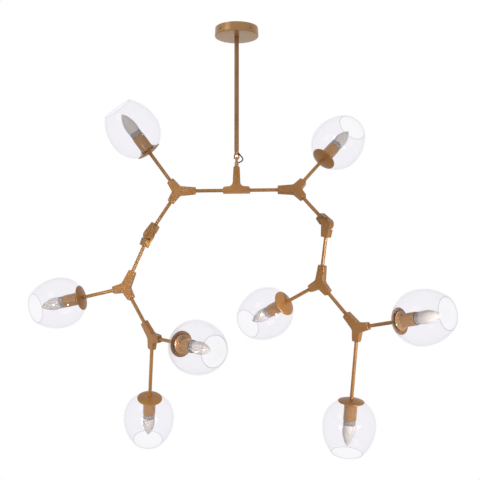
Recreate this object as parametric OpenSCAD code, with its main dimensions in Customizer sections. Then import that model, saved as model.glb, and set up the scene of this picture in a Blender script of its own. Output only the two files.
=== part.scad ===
// Branch chandelier: a round ceiling canopy and a rod carry two linked eyes, and under them a
// tee with two branches. Each branch is a chain of star hubs, tubes and one knuckle, and
// carries four lamps: a cap, a lampholder in a sleeve, a candle bulb and a clear glass shade.
// Millimetres, +Z up. The origin is on the ceiling at the canopy's centre, +X runs along the
// tee's bar to the right, and the front is -Y. Both branches are made of the same pieces.

/* [Canopy] */
// Diameter of the flat underside
canopy_flat_d = 120; // [104:1:160]
// Height from the ceiling to the underside
canopy_h = 26; // [24:1:40]
// Sheet thickness
canopy_wall = 1.2; // [0.8:0.1:2]
// Radius of the rounded lower edge
canopy_edge = 3; // [1:0.5:5]
// How much narrower the wall is at the ceiling than at its widest, on the radius
canopy_lean = 1.2; // [0:0.1:3]
// Height of the side screws above the underside
side_screw_rise = 13; // [10:1:16]
// Diameter of the side screws
side_screw_d = 4; // [3:0.5:5]

/* [Ceiling plate] */
// Diameter of the round plate
plate_d = 100; // [92:1:110]
// Plate and tab thickness
plate_t = 2; // [1.5:0.1:3]
// Distance between the two holes for ceiling screws
ceiling_hole_spacing = 84; // [60:1:86]
// Diameter of those holes
ceiling_hole_d = 5.5; // [4:0.1:6.5]
// Width of the four tabs that the side screws enter
tab_w = 14; // [10:1:20]
// Gap from a tab to the inside of the canopy's wall
tab_gap = 1.5; // [0.5:0.1:3]

/* [Rod and eyes] */
// From the canopy's underside down to the centre of the tee's bar
drop = 448; // [300:1:900]
// Rod diameter
rod_d = 13; // [11:0.5:16]
// Height of the rod's foot above the tee's centre
rod_foot = 112; // [112:1:130]
// Wire diameter of the upper eye
eye_wire_d = 3.8; // [3:0.1:4]
// Half width of the upper eye, to the middle of its wire
eye_half_w = 6.3; // [6:0.1:7]
// Radius of the upper eye's bottom corners, to the middle of the wire
eye_corner = 4.3; // [4:0.1:4.5]
// Height of the upper eye's hanging wire above the tee's centre
eye_pivot = 90.2; // [89:0.1:91]
// Hole diameter of the lower eye
lower_eye_hole_d = 6.6; // [6:0.1:7]
// Outside diameter of the lower eye
lower_eye_d = 14; // [12:0.5:14.5]
// Width of the lower eye
lower_eye_w = 6.4; // [5:0.1:7]
// Diameter of the lower eye's neck
neck_d = 10.8; // [10:0.1:11.5]
// Diameter of the collars at both eyes
collar_d = 12.2; // [11.5:0.1:12.8]
// Diameter of the screwed shanks of both eyes
shank_d = 8; // [7.5:0.1:9]
// Length of those shanks
shank_l = 12; // [8:1:14]
// Diameter of the supply cord
cord_d = 3.5; // [3:0.1:4]

/* [Tee] */
// Half length of the tee's bar
tee_half = 38; // [34:1:46]
// Height of the bar below its centre
tee_low = 8.7; // [8:0.1:10]
// Height of the bar above its centre, at its ends
tee_high = 9.4; // [8:0.1:11]
// Height of the stem above the bar's centre
stem_top = 67; // [60:1:72]
// Half width of the stem at its top
stem_half_top = 8.7; // [7:0.1:10]
// Half width of the stem at its root
stem_half_root = 11.3; // [9:0.1:13]
// Radius of the fillets between stem and bar
tee_fillet = 13; // [8:0.5:16]
// Thickness from front to back
tee_t = 16; // [14:0.5:18]

/* [Star hubs] */
// Angle between a hub's axis and each of its two short arms
star_angle = 55; // [50:1:60]
// From a hub's centre to the end of its long arm
hub_long = 51; // [44:1:60]
// From a hub's centre to the end of a short arm
hub_short = 38; // [34:1:46]
// Width of an arm at its end
hub_w = 20; // [17:0.5:22]
// Width that the arms taper from, at the hub's centre
hub_root_w = 29; // [24:0.5:31]
// Thickness of a hub
hub_t = 15.6; // [14:0.2:18]
// Radius of the fillets between arms
hub_fillet = 8; // [4:0.5:10]
// Chamfer on the corners of arms and knuckle ends
corner_cut = 2; // [1:0.5:3]

/* [Tubes] */
// Outside diameter of every branch tube
tube_d = 10; // [8:0.5:11]
// Wall thickness of a tube
tube_wall = 1.2; // [0.8:0.1:2]
// Length of a link tube that shows between two castings
link_shows = 78; // [60:1:120]
// From a hub's centre to the rim of the cap on a side lamp
side_arm = 140; // [120:1:180]
// The same on the two lamps that hang lowest
low_arm = 208; // [150:1:260]
// Depth of the sockets that hold the tubes
socket_depth = 12; // [8:1:14]
// Diameter of the passages for the lamp wires
wire_hole_d = 6; // [4:0.5:7]

/* [Knuckles] */
// From the pivot to either end
knuckle_half = 36; // [34:1:46]
// Diameter of the two discs that lie on each other
knuckle_disc_d = 30; // [26:1:34]
// Thickness of the whole knuckle
knuckle_t = 19; // [16:0.5:22]
// Width of the socket ends
knuckle_w = 21; // [18:0.5:24]
// Diameter of the pivot screw
pivot_d = 6; // [4:0.5:6.5]
// Diameter of its head, which is sunk in the lower half
pivot_head_d = 8.6; // [7.5:0.1:9.4]

/* [Lamp caps and sleeves] */
// Diameter of a cap
cap_d = 72; // [66:1:80]
// Depth of the dome behind the cap's rim plane
cap_depth = 9; // [7:0.5:12]
// Height of the cap's straight rim
cap_rim = 2; // [1.5:0.1:3]
// Sheet thickness of the cap
cap_wall = 1.6; // [1:0.1:2]
// Outside diameter of a sleeve
sleeve_d = 36; // [34:0.5:40]
// Wall thickness of a sleeve
sleeve_wall = 1.2; // [0.8:0.1:1.6]
// Length of a sleeve in front of the rim plane
sleeve_shows = 52; // [50:1:56]
// Diameter of the ring nut's flange, which holds the glass
ring_flange_d = 52; // [46:1:60]
// Height of the ring nut
ring_h = 8; // [6:0.5:12]

/* [Lampholders and bulbs] */
// Outside diameter of a lampholder
holder_d = 29; // [26:0.5:31]
// Height of the lampholder's mouth in front of the rim plane
holder_mouth = 48; // [44:1:50]
// Diameter of the bulb's screw base
bulb_base_d = 13.8; // [13.5:0.1:14]
// Height of the bulb's foot in front of the rim plane
bulb_foot = 25; // [22:1:28]
// Height where the bulb's collar ends and its dome starts
bulb_collar_top = 66; // [62:1:70]
// Largest diameter of the dome
bulb_d = 35; // [30:0.5:37]
// Height of the bulb's tip
bulb_tip = 126.5; // [115:0.5:135]

/* [Glass shades] */
// Largest diameter
shade_d = 148; // [130:1:170]
// Distance of the widest place from the rim plane
shade_belly = 66; // [55:1:80]
// Whole length
shade_l = 147; // [130:1:165]
// Diameter of the open mouth
shade_mouth_d = 88; // [70:1:110]
// Diameter of the flat back that lies on the cap
shade_back_d = 78; // [74:1:90]
// Thickness of the glass
glass_t = 2.5; // [2:0.1:4]

/* [How the branches are turned] */
// Turn of the left upper hub about its tube
upper_roll_left = -16; // [-30:1:0]
// Turn of the left knuckle about its tube
knuckle_turn_left = 50; // [30:1:70]
// Bend of the left knuckle
knuckle_bend_left = 16; // [0:1:40]
// Turn of the left middle hub about its tube
middle_roll_left = -30; // [-50:1:-10]
// Turn of the left lower hub about its tube
lower_roll_left = -138; // [-150:1:-120]
// Turn of the right upper hub about its tube
upper_roll_right = -30; // [-45:1:-15]
// Turn of the right knuckle about its tube
knuckle_turn_right = 53; // [35:1:70]
// Bend of the right knuckle
knuckle_bend_right = 59; // [40:1:75]
// Turn of the right middle hub about its tube
middle_roll_right = 174; // [150:1:190]
// Turn of the right lower hub about its tube
lower_roll_right = -175; // [-190:1:-160]

/* [Hidden] */
$fn = 96;

left = -1;
right = 1;

gold = "#A67A42";
gold_light = "#C29A62";
porcelain = "#E8E4DC";
block_white = "#E6E6E0";
bulb_white = "#D8D0C6";
cord_black = "#2E2018";
glass_tint = [0.90, 0.90, 0.95, 0.35];

fit = 0.05;          // radial clearance of a shaft in its hole
turn_gap = 0.3;      // gap between pieces that turn on each other
bore_run = 1;        // how far a cutter runs past the face it opens

tee_z = -canopy_h - drop;
canopy_r = canopy_flat_d/2 + canopy_edge;
tube_r = tube_d/2;
wire_hole_r = wire_hole_d/2;
wire_room = 1;       // the wires' junction inside a hub is this much wider than a passage
cord_r = cord_d/2;
cord_room = 0.85;    // clearance round the cord in its passages
cord_hole_r = cord_r + cord_room;

tee_to_hub = tee_half + link_shows + hub_long;
hub_to_knuckle = hub_short + link_shows + knuckle_half;
knuckle_to_hub = knuckle_half + link_shows + hub_long;
hub_to_hub = hub_short + link_shows + hub_long;

// ---------------------------------------------------------------- frames along a branch
function upper_roll(side) = side < 0 ? upper_roll_left : upper_roll_right;
function knuckle_turn(side) = side < 0 ? knuckle_turn_left : knuckle_turn_right;
function knuckle_bend(side) = side < 0 ? knuckle_bend_left : knuckle_bend_right;
function middle_roll(side) = side < 0 ? middle_roll_left : middle_roll_right;
function lower_roll(side) = side < 0 ? lower_roll_left : lower_roll_right;

module at_tee() {
    translate([0, 0, tee_z]) children();
}

// In every frame below, X leads away from the tee along the tube. A star hub lies in its own
// XZ plane: the short arm on the +Z side carries a lamp, the one on the -Z side leads on.
module at_upper_hub(side) {
    at_tee() rotate([0, 0, side < 0 ? 180 : 0]) translate([tee_to_hub, 0, 0])
        rotate([upper_roll(side), 0, 0]) children();
}

module at_knuckle(side) {
    at_upper_hub(side) rotate([0, star_angle, 0]) translate([hub_to_knuckle, 0, 0])
        rotate([knuckle_turn(side), 0, 0]) children();
}

module at_knuckle_bottom(side) {
    at_knuckle(side) rotate([0, knuckle_bend(side), 0]) children();
}

module at_middle_hub(side) {
    at_knuckle_bottom(side) translate([knuckle_to_hub, 0, 0])
        rotate([middle_roll(side), 0, 0]) children();
}

module at_lower_hub(side) {
    at_middle_hub(side) rotate([0, star_angle, 0]) translate([hub_to_hub, 0, 0])
        rotate([lower_roll(side), 0, 0]) children();
}

// A lamp's frame: the origin on the cap's rim plane, X towards the bulb's tip.
module side_lamp() {
    rotate([0, -star_angle, 0]) translate([side_arm, 0, 0]) children();
}

module low_lamp() {
    rotate([0, star_angle, 0]) translate([low_arm, 0, 0]) children();
}

module both_lower_lamps() {
    side_lamp() children();
    low_lamp() children();
}

// ---------------------------------------------------------------- shared shapes
module bar_x(r, from, to) {
    translate([from, 0, 0]) rotate([0, 90, 0]) cylinder(r = r, h = to - from);
}

module tube(from, to) {
    difference() {
        bar_x(tube_r, from, to);
        bar_x(tube_r - tube_wall, from - bore_run, to + bore_run);
    }
}

// A socket that opens at x = mouth and a wire passage from its bottom back to x = 0
module socket(mouth) {
    bar_x(tube_r + fit, mouth - socket_depth, mouth + bore_run);
    bar_x(wire_hole_r, 0, mouth);
}

// Turns a profile of [radius, distance] points about the X axis
module turned_x(profile) {
    rotate([0, 90, 0]) rotate_extrude() polygon(profile);
}

// A plate in the XZ plane whose faces lie at y = -thickness/2 and +thickness/2
module plate_xz(outline, thickness) {
    rotate([90, 0, 0]) linear_extrude(thickness, center = true) polygon(outline);
}

function turn2(p, a) = [p.x*cos(a) - p.y*sin(a), p.x*sin(a) + p.y*cos(a)];
function along(a) = [cos(a), sin(a)];
// Where the line through p along u meets the line through q along v
function meet(p, u, q, v) = p + u*cross(q - p, v)/cross(u, v);
function arc(centre, r, from, to, steps) = [
    for (i = [0:steps]) let (a = from + (to - from)*i/steps) centre + r*[cos(a), sin(a)]
];

// ---------------------------------------------------------------- canopy and ceiling plate
screw_angles = [45:90:315];
side_screw_r = side_screw_d/2;
side_screw_z = side_screw_rise - canopy_h;
screw_head_r = 4.2;
screw_head_h = 2;
screw_grip = 5;      // how far a side screw reaches in past its tab
spigot_r = 5;        // threaded spigot on top of the rod
spigot_h = 8;
nut_r = 9;
nut_h = 5;
tab_out = canopy_r - canopy_lean - canopy_wall - tab_gap;
tab_h = canopy_h - side_screw_rise + side_screw_r + 4;

function canopy_outline(inset) = concat(
    [[canopy_r - canopy_lean - inset, 0]],
    arc([canopy_flat_d/2, canopy_edge - canopy_h], canopy_edge - inset, 0, -90, 6),
    [[0, inset - canopy_h]]
);

module canopy() {
    color(gold) difference() {
        rotate_extrude() polygon(concat(
            canopy_outline(0),
            [for (i = [len(canopy_outline(0)) - 1:-1:0]) canopy_outline(canopy_wall)[i]]
        ));
        translate([0, 0, -canopy_h - bore_run]) cylinder(r = spigot_r + fit, h = canopy_wall + 2*bore_run);
        for (a = screw_angles) rotate([0, 0, a]) translate([0, 0, side_screw_z])
            bar_x(side_screw_r + fit, tab_out, canopy_r + bore_run);
    }
}

module ceiling_plate() {
    color("silver") difference() {
        union() {
            translate([0, 0, -plate_t]) cylinder(d = plate_d, h = plate_t);
            for (a = screw_angles) rotate([0, 0, a]) {
                translate([plate_d/2 - tab_w, -tab_w/2, -plate_t])
                    cube([tab_out - plate_d/2 + tab_w, tab_w, plate_t]);
                translate([tab_out - plate_t, -tab_w/2, -tab_h]) cube([plate_t, tab_w, tab_h]);
            }
        }
        for (x = [-1, 1]) translate([x*ceiling_hole_spacing/2, 0, -plate_t - bore_run])
            cylinder(d = ceiling_hole_d, h = plate_t + 2*bore_run);
        for (a = screw_angles) rotate([0, 0, a]) translate([0, 0, side_screw_z])
            bar_x(side_screw_r + fit, tab_out - plate_t - bore_run, tab_out + bore_run);
    }
}

// Four screws through the wall into the tabs, and the nut that holds the rod's spigot
module canopy_fasteners() {
    color(gold_light) {
        for (a = screw_angles) rotate([0, 0, a]) translate([0, 0, side_screw_z]) {
            bar_x(side_screw_r, tab_out - screw_grip, canopy_r);
            bar_x(screw_head_r, canopy_r, canopy_r + screw_head_h);
        }
        translate([0, 0, canopy_wall - canopy_h]) difference() {
            cylinder(r = nut_r, h = nut_h, $fn = 6);
            translate([0, 0, -bore_run]) cylinder(r = spigot_r + fit, h = nut_h + 2*bore_run);
        }
    }
}

block = [26, 18, 12];
block_x = 14;        // where the block's near face stands
block_hole_depth = 9;
block_hole_spacing = 5.5;

module terminal_block() {
    color(block_white) difference() {
        translate([block_x, -block.y/2, -plate_t - block.z]) cube(block);
        for (y = [-1:1]) translate([0, y*block_hole_spacing, -plate_t - block.z/2])
            bar_x(cord_r + fit, block_x - bore_run, block_x + block_hole_depth);
    }
}

// ---------------------------------------------------------------- rod, eyes and supply cord
rod_taper = 5;       // length of the rod's narrowed foot
collar_r = collar_d/2;
shank_r = shank_d/2;
eye_wire_r = eye_wire_d/2;
eye_top = 100;       // centre of the upper eye's round top, above the tee's centre
eye_collar_low = 104.6;
cord_out_z = 113;    // where the cord leaves the rod's axis, above the tee's centre
cord_out_turn = -40;
cord_out_tilt = 135;
cord_in_z = 76;      // where it meets the lower eye's axis
cord_in_tilt = 60;
cord_slot_l = 14;

module down_rod() {
    rod_bottom = tee_z + rod_foot;
    color(gold) difference() {
        union() {
            translate([0, 0, rod_bottom + rod_taper])
                cylinder(d = rod_d, h = -canopy_h - rod_bottom - rod_taper);
            translate([0, 0, rod_bottom]) cylinder(r1 = collar_r, r2 = rod_d/2, h = rod_taper);
            translate([0, 0, -canopy_h]) cylinder(r = spigot_r, h = spigot_h);
        }
        translate([0, 0, rod_bottom - bore_run]) cylinder(r = cord_hole_r, h = drop + canopy_h);
        translate([0, 0, rod_bottom - bore_run]) cylinder(r = shank_r + fit, h = shank_l + bore_run);
    }
}

module eye_bend(r, from) {
    rotate([90, 0, 0]) rotate([0, 0, from]) rotate_extrude(angle = 90)
        translate([r, 0]) circle(r = eye_wire_r);
}

module upper_eye() {
    corner_x = eye_half_w - eye_corner;
    corner_z = eye_pivot + eye_corner;
    color(gold) at_tee() difference() {
        union() {
            translate([0, 0, eye_top]) {
                eye_bend(eye_half_w, 0);
                eye_bend(eye_half_w, 90);
            }
            for (x = [-1, 1]) translate([x*eye_half_w, 0, corner_z])
                cylinder(r = eye_wire_r, h = eye_top - corner_z);
            translate([corner_x, 0, corner_z]) eye_bend(eye_corner, 270);
            translate([-corner_x, 0, corner_z]) eye_bend(eye_corner, 180);
            translate([0, 0, eye_pivot]) bar_x(eye_wire_r, -corner_x, corner_x);
            translate([0, 0, eye_collar_low]) cylinder(r = collar_r, h = rod_foot - eye_collar_low);
            translate([0, 0, rod_foot]) cylinder(r = shank_r, h = shank_l);
        }
        translate([0, 0, cord_out_z]) {
            cylinder(r = cord_hole_r, h = rod_foot + shank_l - cord_out_z + bore_run);
            sphere(r = cord_hole_r);
            rotate([0, cord_out_tilt, cord_out_turn]) cylinder(r = cord_hole_r, h = cord_slot_l);
        }
    }
}

lower_eye_r = lower_eye_d/2;
lower_eye_hole_r = lower_eye_hole_d/2;
lower_eye_edge = 1.2; // chamfer of the lower eye's hole and rim
lower_eye_z = eye_pivot + eye_wire_r + turn_gap - lower_eye_hole_r;
neck_bottom = 73;
neck_top = 84;
neck_cone_h = 2;

module lower_eye() {
    half_w = lower_eye_w/2;
    seat = stem_top + turn_gap;
    color(gold) at_tee() difference() {
        union() {
            translate([0, 0, lower_eye_z]) turned_x([
                [lower_eye_hole_r, -half_w + 2*lower_eye_edge],
                [lower_eye_hole_r + lower_eye_edge, -half_w],
                [lower_eye_r - lower_eye_edge, -half_w],
                [lower_eye_r, -half_w + lower_eye_edge],
                [lower_eye_r, half_w - lower_eye_edge],
                [lower_eye_r - lower_eye_edge, half_w],
                [lower_eye_hole_r + lower_eye_edge, half_w],
                [lower_eye_hole_r, half_w - 2*lower_eye_edge]
            ]);
            translate([0, 0, neck_bottom]) cylinder(d = neck_d, h = neck_top - neck_bottom);
            translate([0, 0, neck_top]) cylinder(d1 = neck_d, d2 = lower_eye_w, h = neck_cone_h);
            translate([0, 0, seat]) cylinder(r = collar_r, h = neck_bottom - seat);
            translate([0, 0, seat - shank_l]) cylinder(r = shank_r, h = shank_l);
        }
        translate([0, 0, cord_in_z]) {
            translate([0, 0, seat - shank_l - bore_run - cord_in_z])
                cylinder(r = cord_hole_r, h = cord_in_z - seat + shank_l + bore_run);
            sphere(r = cord_hole_r);
            rotate([0, cord_in_tilt, 0]) cylinder(r = cord_hole_r, h = cord_slot_l);
        }
    }
}

// The cord's route from the terminal block down the rod, round the two eyes and into the stem
cord_top_points = [[block_x + 8, 0, -8], [12, 0, -8], [8, 0, -8], [4, 0, -9], [1, 0, -12], [0, 0, -16],
    [0, 0, -100], [0, 0, -200], [0, 0, -300]];
cord_loop_points = [[0, 0, 125], [0, 0, 118], [0, 0, 113], [2, -2, 110], [4.5, -3.6, 107.5],
    [6.5, -5, 105], [8.5, -5.8, 102.5], [11, -5.8, 99.5], [14, -5.2, 96], [16.8, -4.2, 92.5], [18, -3, 89],
    [17, -2, 85.5], [14, -1, 83], [10, 0, 81.5], [6, 0, 79.5], [3, 0, 77.7], [0, 0, 75.5], [0, 0, 70],
    [0, 0, 60], [0, 0, 40], [0, 0, 20]];
cord_route = concat(cord_top_points, [for (p = cord_loop_points) [p.x, p.y, p.z + tee_z]]);
cord_sides = 8;

function unit(v) = v/norm(v);
// The direction of the route at point i, between its two runs
function heading(points, i) = unit(
    (i == 0 ? [0, 0, 0] : unit(points[i] - points[i - 1]))
    + (i == len(points) - 1 ? [0, 0, 0] : unit(points[i + 1] - points[i]))
);
// A side direction square to the heading that stays near Y all along the route
function side_of(h) = unit([0, 1, 0] - h*h.y);
function ring_points(points, i, r, sides) = let (
    h = heading(points, i),
    u = side_of(h),
    v = cross(h, u)
) [for (k = [0:sides - 1]) points[i] + r*(u*cos(360*k/sides) + v*sin(360*k/sides))];

module swept_tube(points, r, sides) {
    rings = len(points);
    verts = [for (i = [0:rings - 1]) each ring_points(points, i, r, sides)];
    walls = [for (i = [0:rings - 2]) for (k = [0:sides - 1]) let (n = (k + 1) % sides)
        each [
            [i*sides + k, (i + 1)*sides + k, (i + 1)*sides + n],
            [i*sides + k, (i + 1)*sides + n, i*sides + n]
        ]];
    ends = [
        [for (k = [0:sides - 1]) k],
        [for (k = [sides - 1:-1:0]) (rings - 1)*sides + k]
    ];
    polyhedron(verts, concat(walls, ends));
}

module supply_cord() {
    color(cord_black) swept_tube(cord_route, cord_r, cord_sides);
}

// ---------------------------------------------------------------- tee and link tubes
tee_end_cut = [2.6, 5];  // cut of the bar's upper end corners
tee_low_cut = 2;
stem_root_z = tee_high + 1.4 + tee_fillet;
set_screw_r = 2.2;
set_screw_z = 11;
set_screw_depth = 4;
set_screw_shows = 0.8;

function tee_half_outline() = concat(
    [[tee_half - tee_low_cut, -tee_low], [tee_half, tee_low_cut - tee_low],
     [tee_half, tee_high - tee_end_cut.y], [tee_half - tee_end_cut.x, tee_high]],
    arc([stem_half_root + tee_fillet, stem_root_z], tee_fillet, 270, 180, 10),
    [[stem_half_top, stem_top]]
);

module tee_hub() {
    side_points = tee_half_outline();
    outline = concat(
        side_points,
        [for (i = [len(side_points) - 1:-1:0]) [-side_points[i].x, side_points[i].y]]
    );
    color(gold) at_tee() {
        difference() {
            plate_xz(outline, tee_t);
            socket(tee_half);
            rotate([0, 0, 180]) socket(tee_half);
            cylinder(r = wire_hole_r, h = stem_top);
            translate([0, 0, stem_top - shank_l - turn_gap])
                cylinder(r = shank_r + fit, h = shank_l + turn_gap + bore_run);
            translate([0, -tee_t/2 - bore_run, set_screw_z]) rotate([-90, 0, 0])
                cylinder(r = set_screw_r + fit, h = set_screw_depth + bore_run);
        }
        translate([0, -tee_t/2 - set_screw_shows, set_screw_z]) rotate([-90, 0, 0])
            cylinder(r = set_screw_r, h = set_screw_depth + set_screw_shows - fit);
    }
}

module link_tubes() {
    color(gold) at_tee() for (turn = [0, 180]) rotate([0, 0, turn])
        tube(tee_half - socket_depth, tee_to_hub - hub_long + socket_depth - turn_gap);
}

// ---------------------------------------------------------------- star hubs and their tubes
// How far the sides of an arm lean in towards its end
function arm_lean(length) = atan((hub_root_w - hub_w)/2/length);
function arm_end(angle, length) = let (
    shoulder = hub_w/2 + corner_cut*tan(arm_lean(length))
) [
    for (p = [[length - corner_cut, -shoulder], [length, corner_cut - hub_w/2],
              [length, hub_w/2 - corner_cut], [length - corner_cut, shoulder]]) turn2(p, angle)
];
// The fillet in the corner between the arm at angle a and the next one at angle b
function arm_fillet(a, a_length, b, b_length) = let (
    from = a - arm_lean(a_length),
    to = b + arm_lean(b_length),
    centre = meet(hub_root_w/2*along(a + 90) + hub_fillet*along(from + 90), along(from),
                  hub_root_w/2*along(b - 90) + hub_fillet*along(to - 90), along(to))
) arc(centre, hub_fillet, from + 270, to + 90, 8);

function star_outline() = concat(
    arm_end(-star_angle, hub_short), arm_fillet(-star_angle, hub_short, star_angle, hub_short),
    arm_end(star_angle, hub_short), arm_fillet(star_angle, hub_short, 180, hub_long),
    arm_end(180, hub_long), arm_fillet(180, hub_long, 360 - star_angle, hub_short)
);

module star_hub() {
    color(gold) difference() {
        plate_xz(star_outline(), hub_t);
        rotate([0, 180, 0]) socket(hub_long);
        rotate([0, star_angle, 0]) socket(hub_short);
        rotate([0, -star_angle, 0]) socket(hub_short);
        sphere(r = wire_hole_r + wire_room);
    }
}

tube_in_holder = 8;  // how far a lamp's tube reaches past the rim plane
tube_start = hub_short - socket_depth;

module side_lamp_tube() {
    rotate([0, -star_angle, 0]) tube(tube_start, side_arm + tube_in_holder);
}

module upper_tubes(side) {
    color(gold) at_upper_hub(side) {
        side_lamp_tube();
        rotate([0, star_angle, 0]) tube(tube_start, hub_to_knuckle - knuckle_half + socket_depth);
    }
}

module middle_tubes(side) {
    color(gold) at_middle_hub(side) {
        side_lamp_tube();
        rotate([0, star_angle, 0])
            tube(tube_start, hub_to_hub - hub_long + socket_depth - turn_gap);
    }
}

module lower_tubes(side) {
    color(gold) at_lower_hub(side) {
        side_lamp_tube();
        rotate([0, star_angle, 0]) tube(tube_start, low_arm + tube_in_holder);
    }
}

// ---------------------------------------------------------------- knuckles
knuckle_disc_r = knuckle_disc_d/2;
knuckle_step = knuckle_disc_r - 1;   // where a half takes up the whole thickness
wire_ring_r = knuckle_disc_r - 3;    // the wires pass round the pivot in a ring cut into both halves
wire_ring_h = 5;
knuckle_tuck = 0.3;  // the straight sides start this far inside the disc's rim
pivot_r = pivot_d/2;
pivot_sink = 2.6;
pivot_sink_r = pivot_head_d/2 + turn_gap;
pivot_boss_r = 5.5;
pivot_head_h = 2.2;
pivot_key_r = 2.9;   // the key's hexagon in the head, to its corners
pivot_key_h = 1.6;
pivot_nut_r = 6;
pivot_nut_h = 3;

// Half of a knuckle's outline: all but a tangent of the disc, out to the corner of the socket end
function knuckle_side() = let (
    shoulder = [knuckle_half - corner_cut, knuckle_w/2],
    start_r = knuckle_disc_r - knuckle_tuck,
    start = atan2(shoulder.y, shoulder.x) + acos(start_r/norm(shoulder))
) [start_r*along(start), shoulder, [knuckle_half, knuckle_w/2 - corner_cut]];

// One half, with its socket end towards +X and its disc on the +Y side of the parting plane.
// Past the disc it is as thick as the whole knuckle and hollowed round the other half's disc.
module knuckle_casting() {
    side_points = knuckle_side();
    face = knuckle_t/2;
    difference() {
        union() {
            rotate([90, 0, 0]) cylinder(r = knuckle_disc_r, h = knuckle_t, center = true);
            plate_xz(concat(
                side_points,
                [for (i = [len(side_points) - 1:-1:0]) [side_points[i].x, -side_points[i].y]]
            ), knuckle_t);
        }
        translate([0, turn_gap/2, 0]) rotate([90, 0, 0])
            cylinder(r = knuckle_disc_r + turn_gap, h = knuckle_t);
        translate([-knuckle_half, turn_gap/2 - knuckle_t, -knuckle_half])
            cube([knuckle_half + knuckle_step, knuckle_t, 2*knuckle_half]);
        rotate([90, 0, 0]) cylinder(r = pivot_r + fit, h = knuckle_t + bore_run, center = true);
        translate([0, face - pivot_sink, 0]) rotate([-90, 0, 0])
            cylinder(r = pivot_sink_r, h = pivot_sink + bore_run);
        rotate([-90, 0, 0]) rotate_extrude() translate([pivot_boss_r, -bore_run])
            square([wire_ring_r - pivot_boss_r, bore_run + wire_ring_h]);
        bar_x(tube_r + fit, knuckle_half - socket_depth, knuckle_half + bore_run);
        bar_x(wire_hole_r, (pivot_boss_r + wire_ring_r)/2, knuckle_half);
    }
}

// The upper half points back at the tube it comes from, and lies on the +Y side
module knuckle_top(side) {
    color(gold) at_knuckle(side) rotate([0, 180, 0]) knuckle_casting();
}

module knuckle_bottom(side) {
    color(gold) at_knuckle_bottom(side) rotate([180, 0, 0]) knuckle_casting();
}

// Pivot screw with its head sunk in the -Y side, and its nut on the +Y side
module knuckle_screw(side) {
    face = knuckle_t/2;
    bearing = pivot_sink - turn_gap - face;
    color(gold_light) at_knuckle(side) rotate([-90, 0, 0]) {
        difference() {
            union() {
                translate([0, 0, bearing - pivot_head_h]) cylinder(d = pivot_head_d, h = pivot_head_h);
                translate([0, 0, bearing]) cylinder(r = pivot_r, h = face + pivot_nut_h - bearing);
            }
            translate([0, 0, bearing - pivot_head_h - bore_run])
                cylinder(r = pivot_key_r, h = pivot_key_h + bore_run, $fn = 6);
        }
        translate([0, 0, face]) difference() {
            cylinder(r = pivot_nut_r, h = pivot_nut_h, $fn = 6);
            translate([0, 0, -bore_run]) cylinder(r = pivot_r + fit, h = pivot_nut_h + 2*bore_run);
        }
    }
}

module knuckle_tube(side) {
    color(gold) at_knuckle_bottom(side)
        tube(knuckle_half - socket_depth, knuckle_to_hub - hub_long + socket_depth - turn_gap);
}

// ---------------------------------------------------------------- lamps
cap_r = cap_d/2;
sleeve_r = sleeve_d/2;
// Radius of the sphere that the cap's dome is part of
dome_r = (cap_r*cap_r + pow(cap_depth - cap_rim, 2))/(2*(cap_depth - cap_rim));
dome_steps = 8;
seat_r = sleeve_r + 0.5;
// Height of the dome's skin at radius r, with the skin inset from the outside
function dome_height(r, inset) = dome_r - cap_depth - sqrt(pow(dome_r - inset, 2) - r*r);
function dome_points(from, to, inset) = [
    for (i = [0:dome_steps]) let (r = from + (to - from)*i/dome_steps) [r, dome_height(r, inset)]
];
seat_height = dome_height(seat_r, cap_wall);
tube_bore_r = tube_r + fit;

module lamp_cap() {
    color(gold) turned_x(concat(
        dome_points(tube_bore_r, cap_r, 0),
        [[cap_r, 0], [cap_r - cap_wall, 0]],
        dome_points(cap_r - cap_wall, seat_r, cap_wall),
        [[tube_bore_r, seat_height]]
    ));
}

sleeve_lip = 1.5;    // the sleeve's mouth is rolled in by this much
ring_seat = glass_t; // the ring nut lies on the glass
ring_flange_t = 1.8;
ring_wall = 1.4;     // wall of the nut at its top
ring_cone = 1.4;     // extra wall where its flared foot ends
ring_cone_h = 3.6;

// The sleeve round the lampholder, and the ring nut on it that holds the glass to the cap
module lamp_sleeve() {
    floor_t = 1.5;
    color(gold) {
        turned_x([
            [tube_bore_r, seat_height], [sleeve_r, seat_height], [sleeve_r, sleeve_shows - sleeve_lip],
            [sleeve_r - sleeve_lip/2, sleeve_shows], [sleeve_r - sleeve_wall, sleeve_shows],
            [sleeve_r - sleeve_wall, seat_height + floor_t], [tube_bore_r, seat_height + floor_t]
        ]);
        turned_x([
            [sleeve_r + fit, ring_seat], [ring_flange_d/2, ring_seat],
            [ring_flange_d/2, ring_seat + ring_flange_t],
            [sleeve_r + ring_wall + ring_cone, ring_seat + ring_flange_t + ring_cone_h],
            [sleeve_r + ring_wall, ring_seat + ring_h], [sleeve_r + fit, ring_seat + ring_h]
        ]);
    }
}

module lampholder() {
    holder_r = holder_d/2;
    holder_foot = seat_height + 1.5;
    socket_r = bulb_base_d/2 + 0.3;
    color(porcelain) turned_x([
        [tube_bore_r, holder_foot], [holder_r, holder_foot], [holder_r, holder_mouth - 1],
        [holder_r - 1, holder_mouth], [socket_r, holder_mouth], [socket_r, bulb_foot],
        [wire_hole_r - 1, bulb_foot], [wire_hole_r - 1, tube_in_holder],
        [tube_bore_r, tube_in_holder]
    ]);
}

dome_start = bulb_collar_top + 0.5;
bulb_belly = bulb_collar_top + 14;  // height of the dome's widest place
bulb_steps = 10;
bulb_tip_r = 1.8;
// Radius of the circle that the pointed dome's side is part of
ogive_r = (pow(bulb_tip - bulb_belly, 2) + pow(bulb_d/2 - bulb_tip_r, 2))/(2*(bulb_d/2 - bulb_tip_r));
function ogive(h) = sqrt(ogive_r*ogive_r - pow(h - bulb_belly, 2)) - ogive_r + bulb_d/2;

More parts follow.
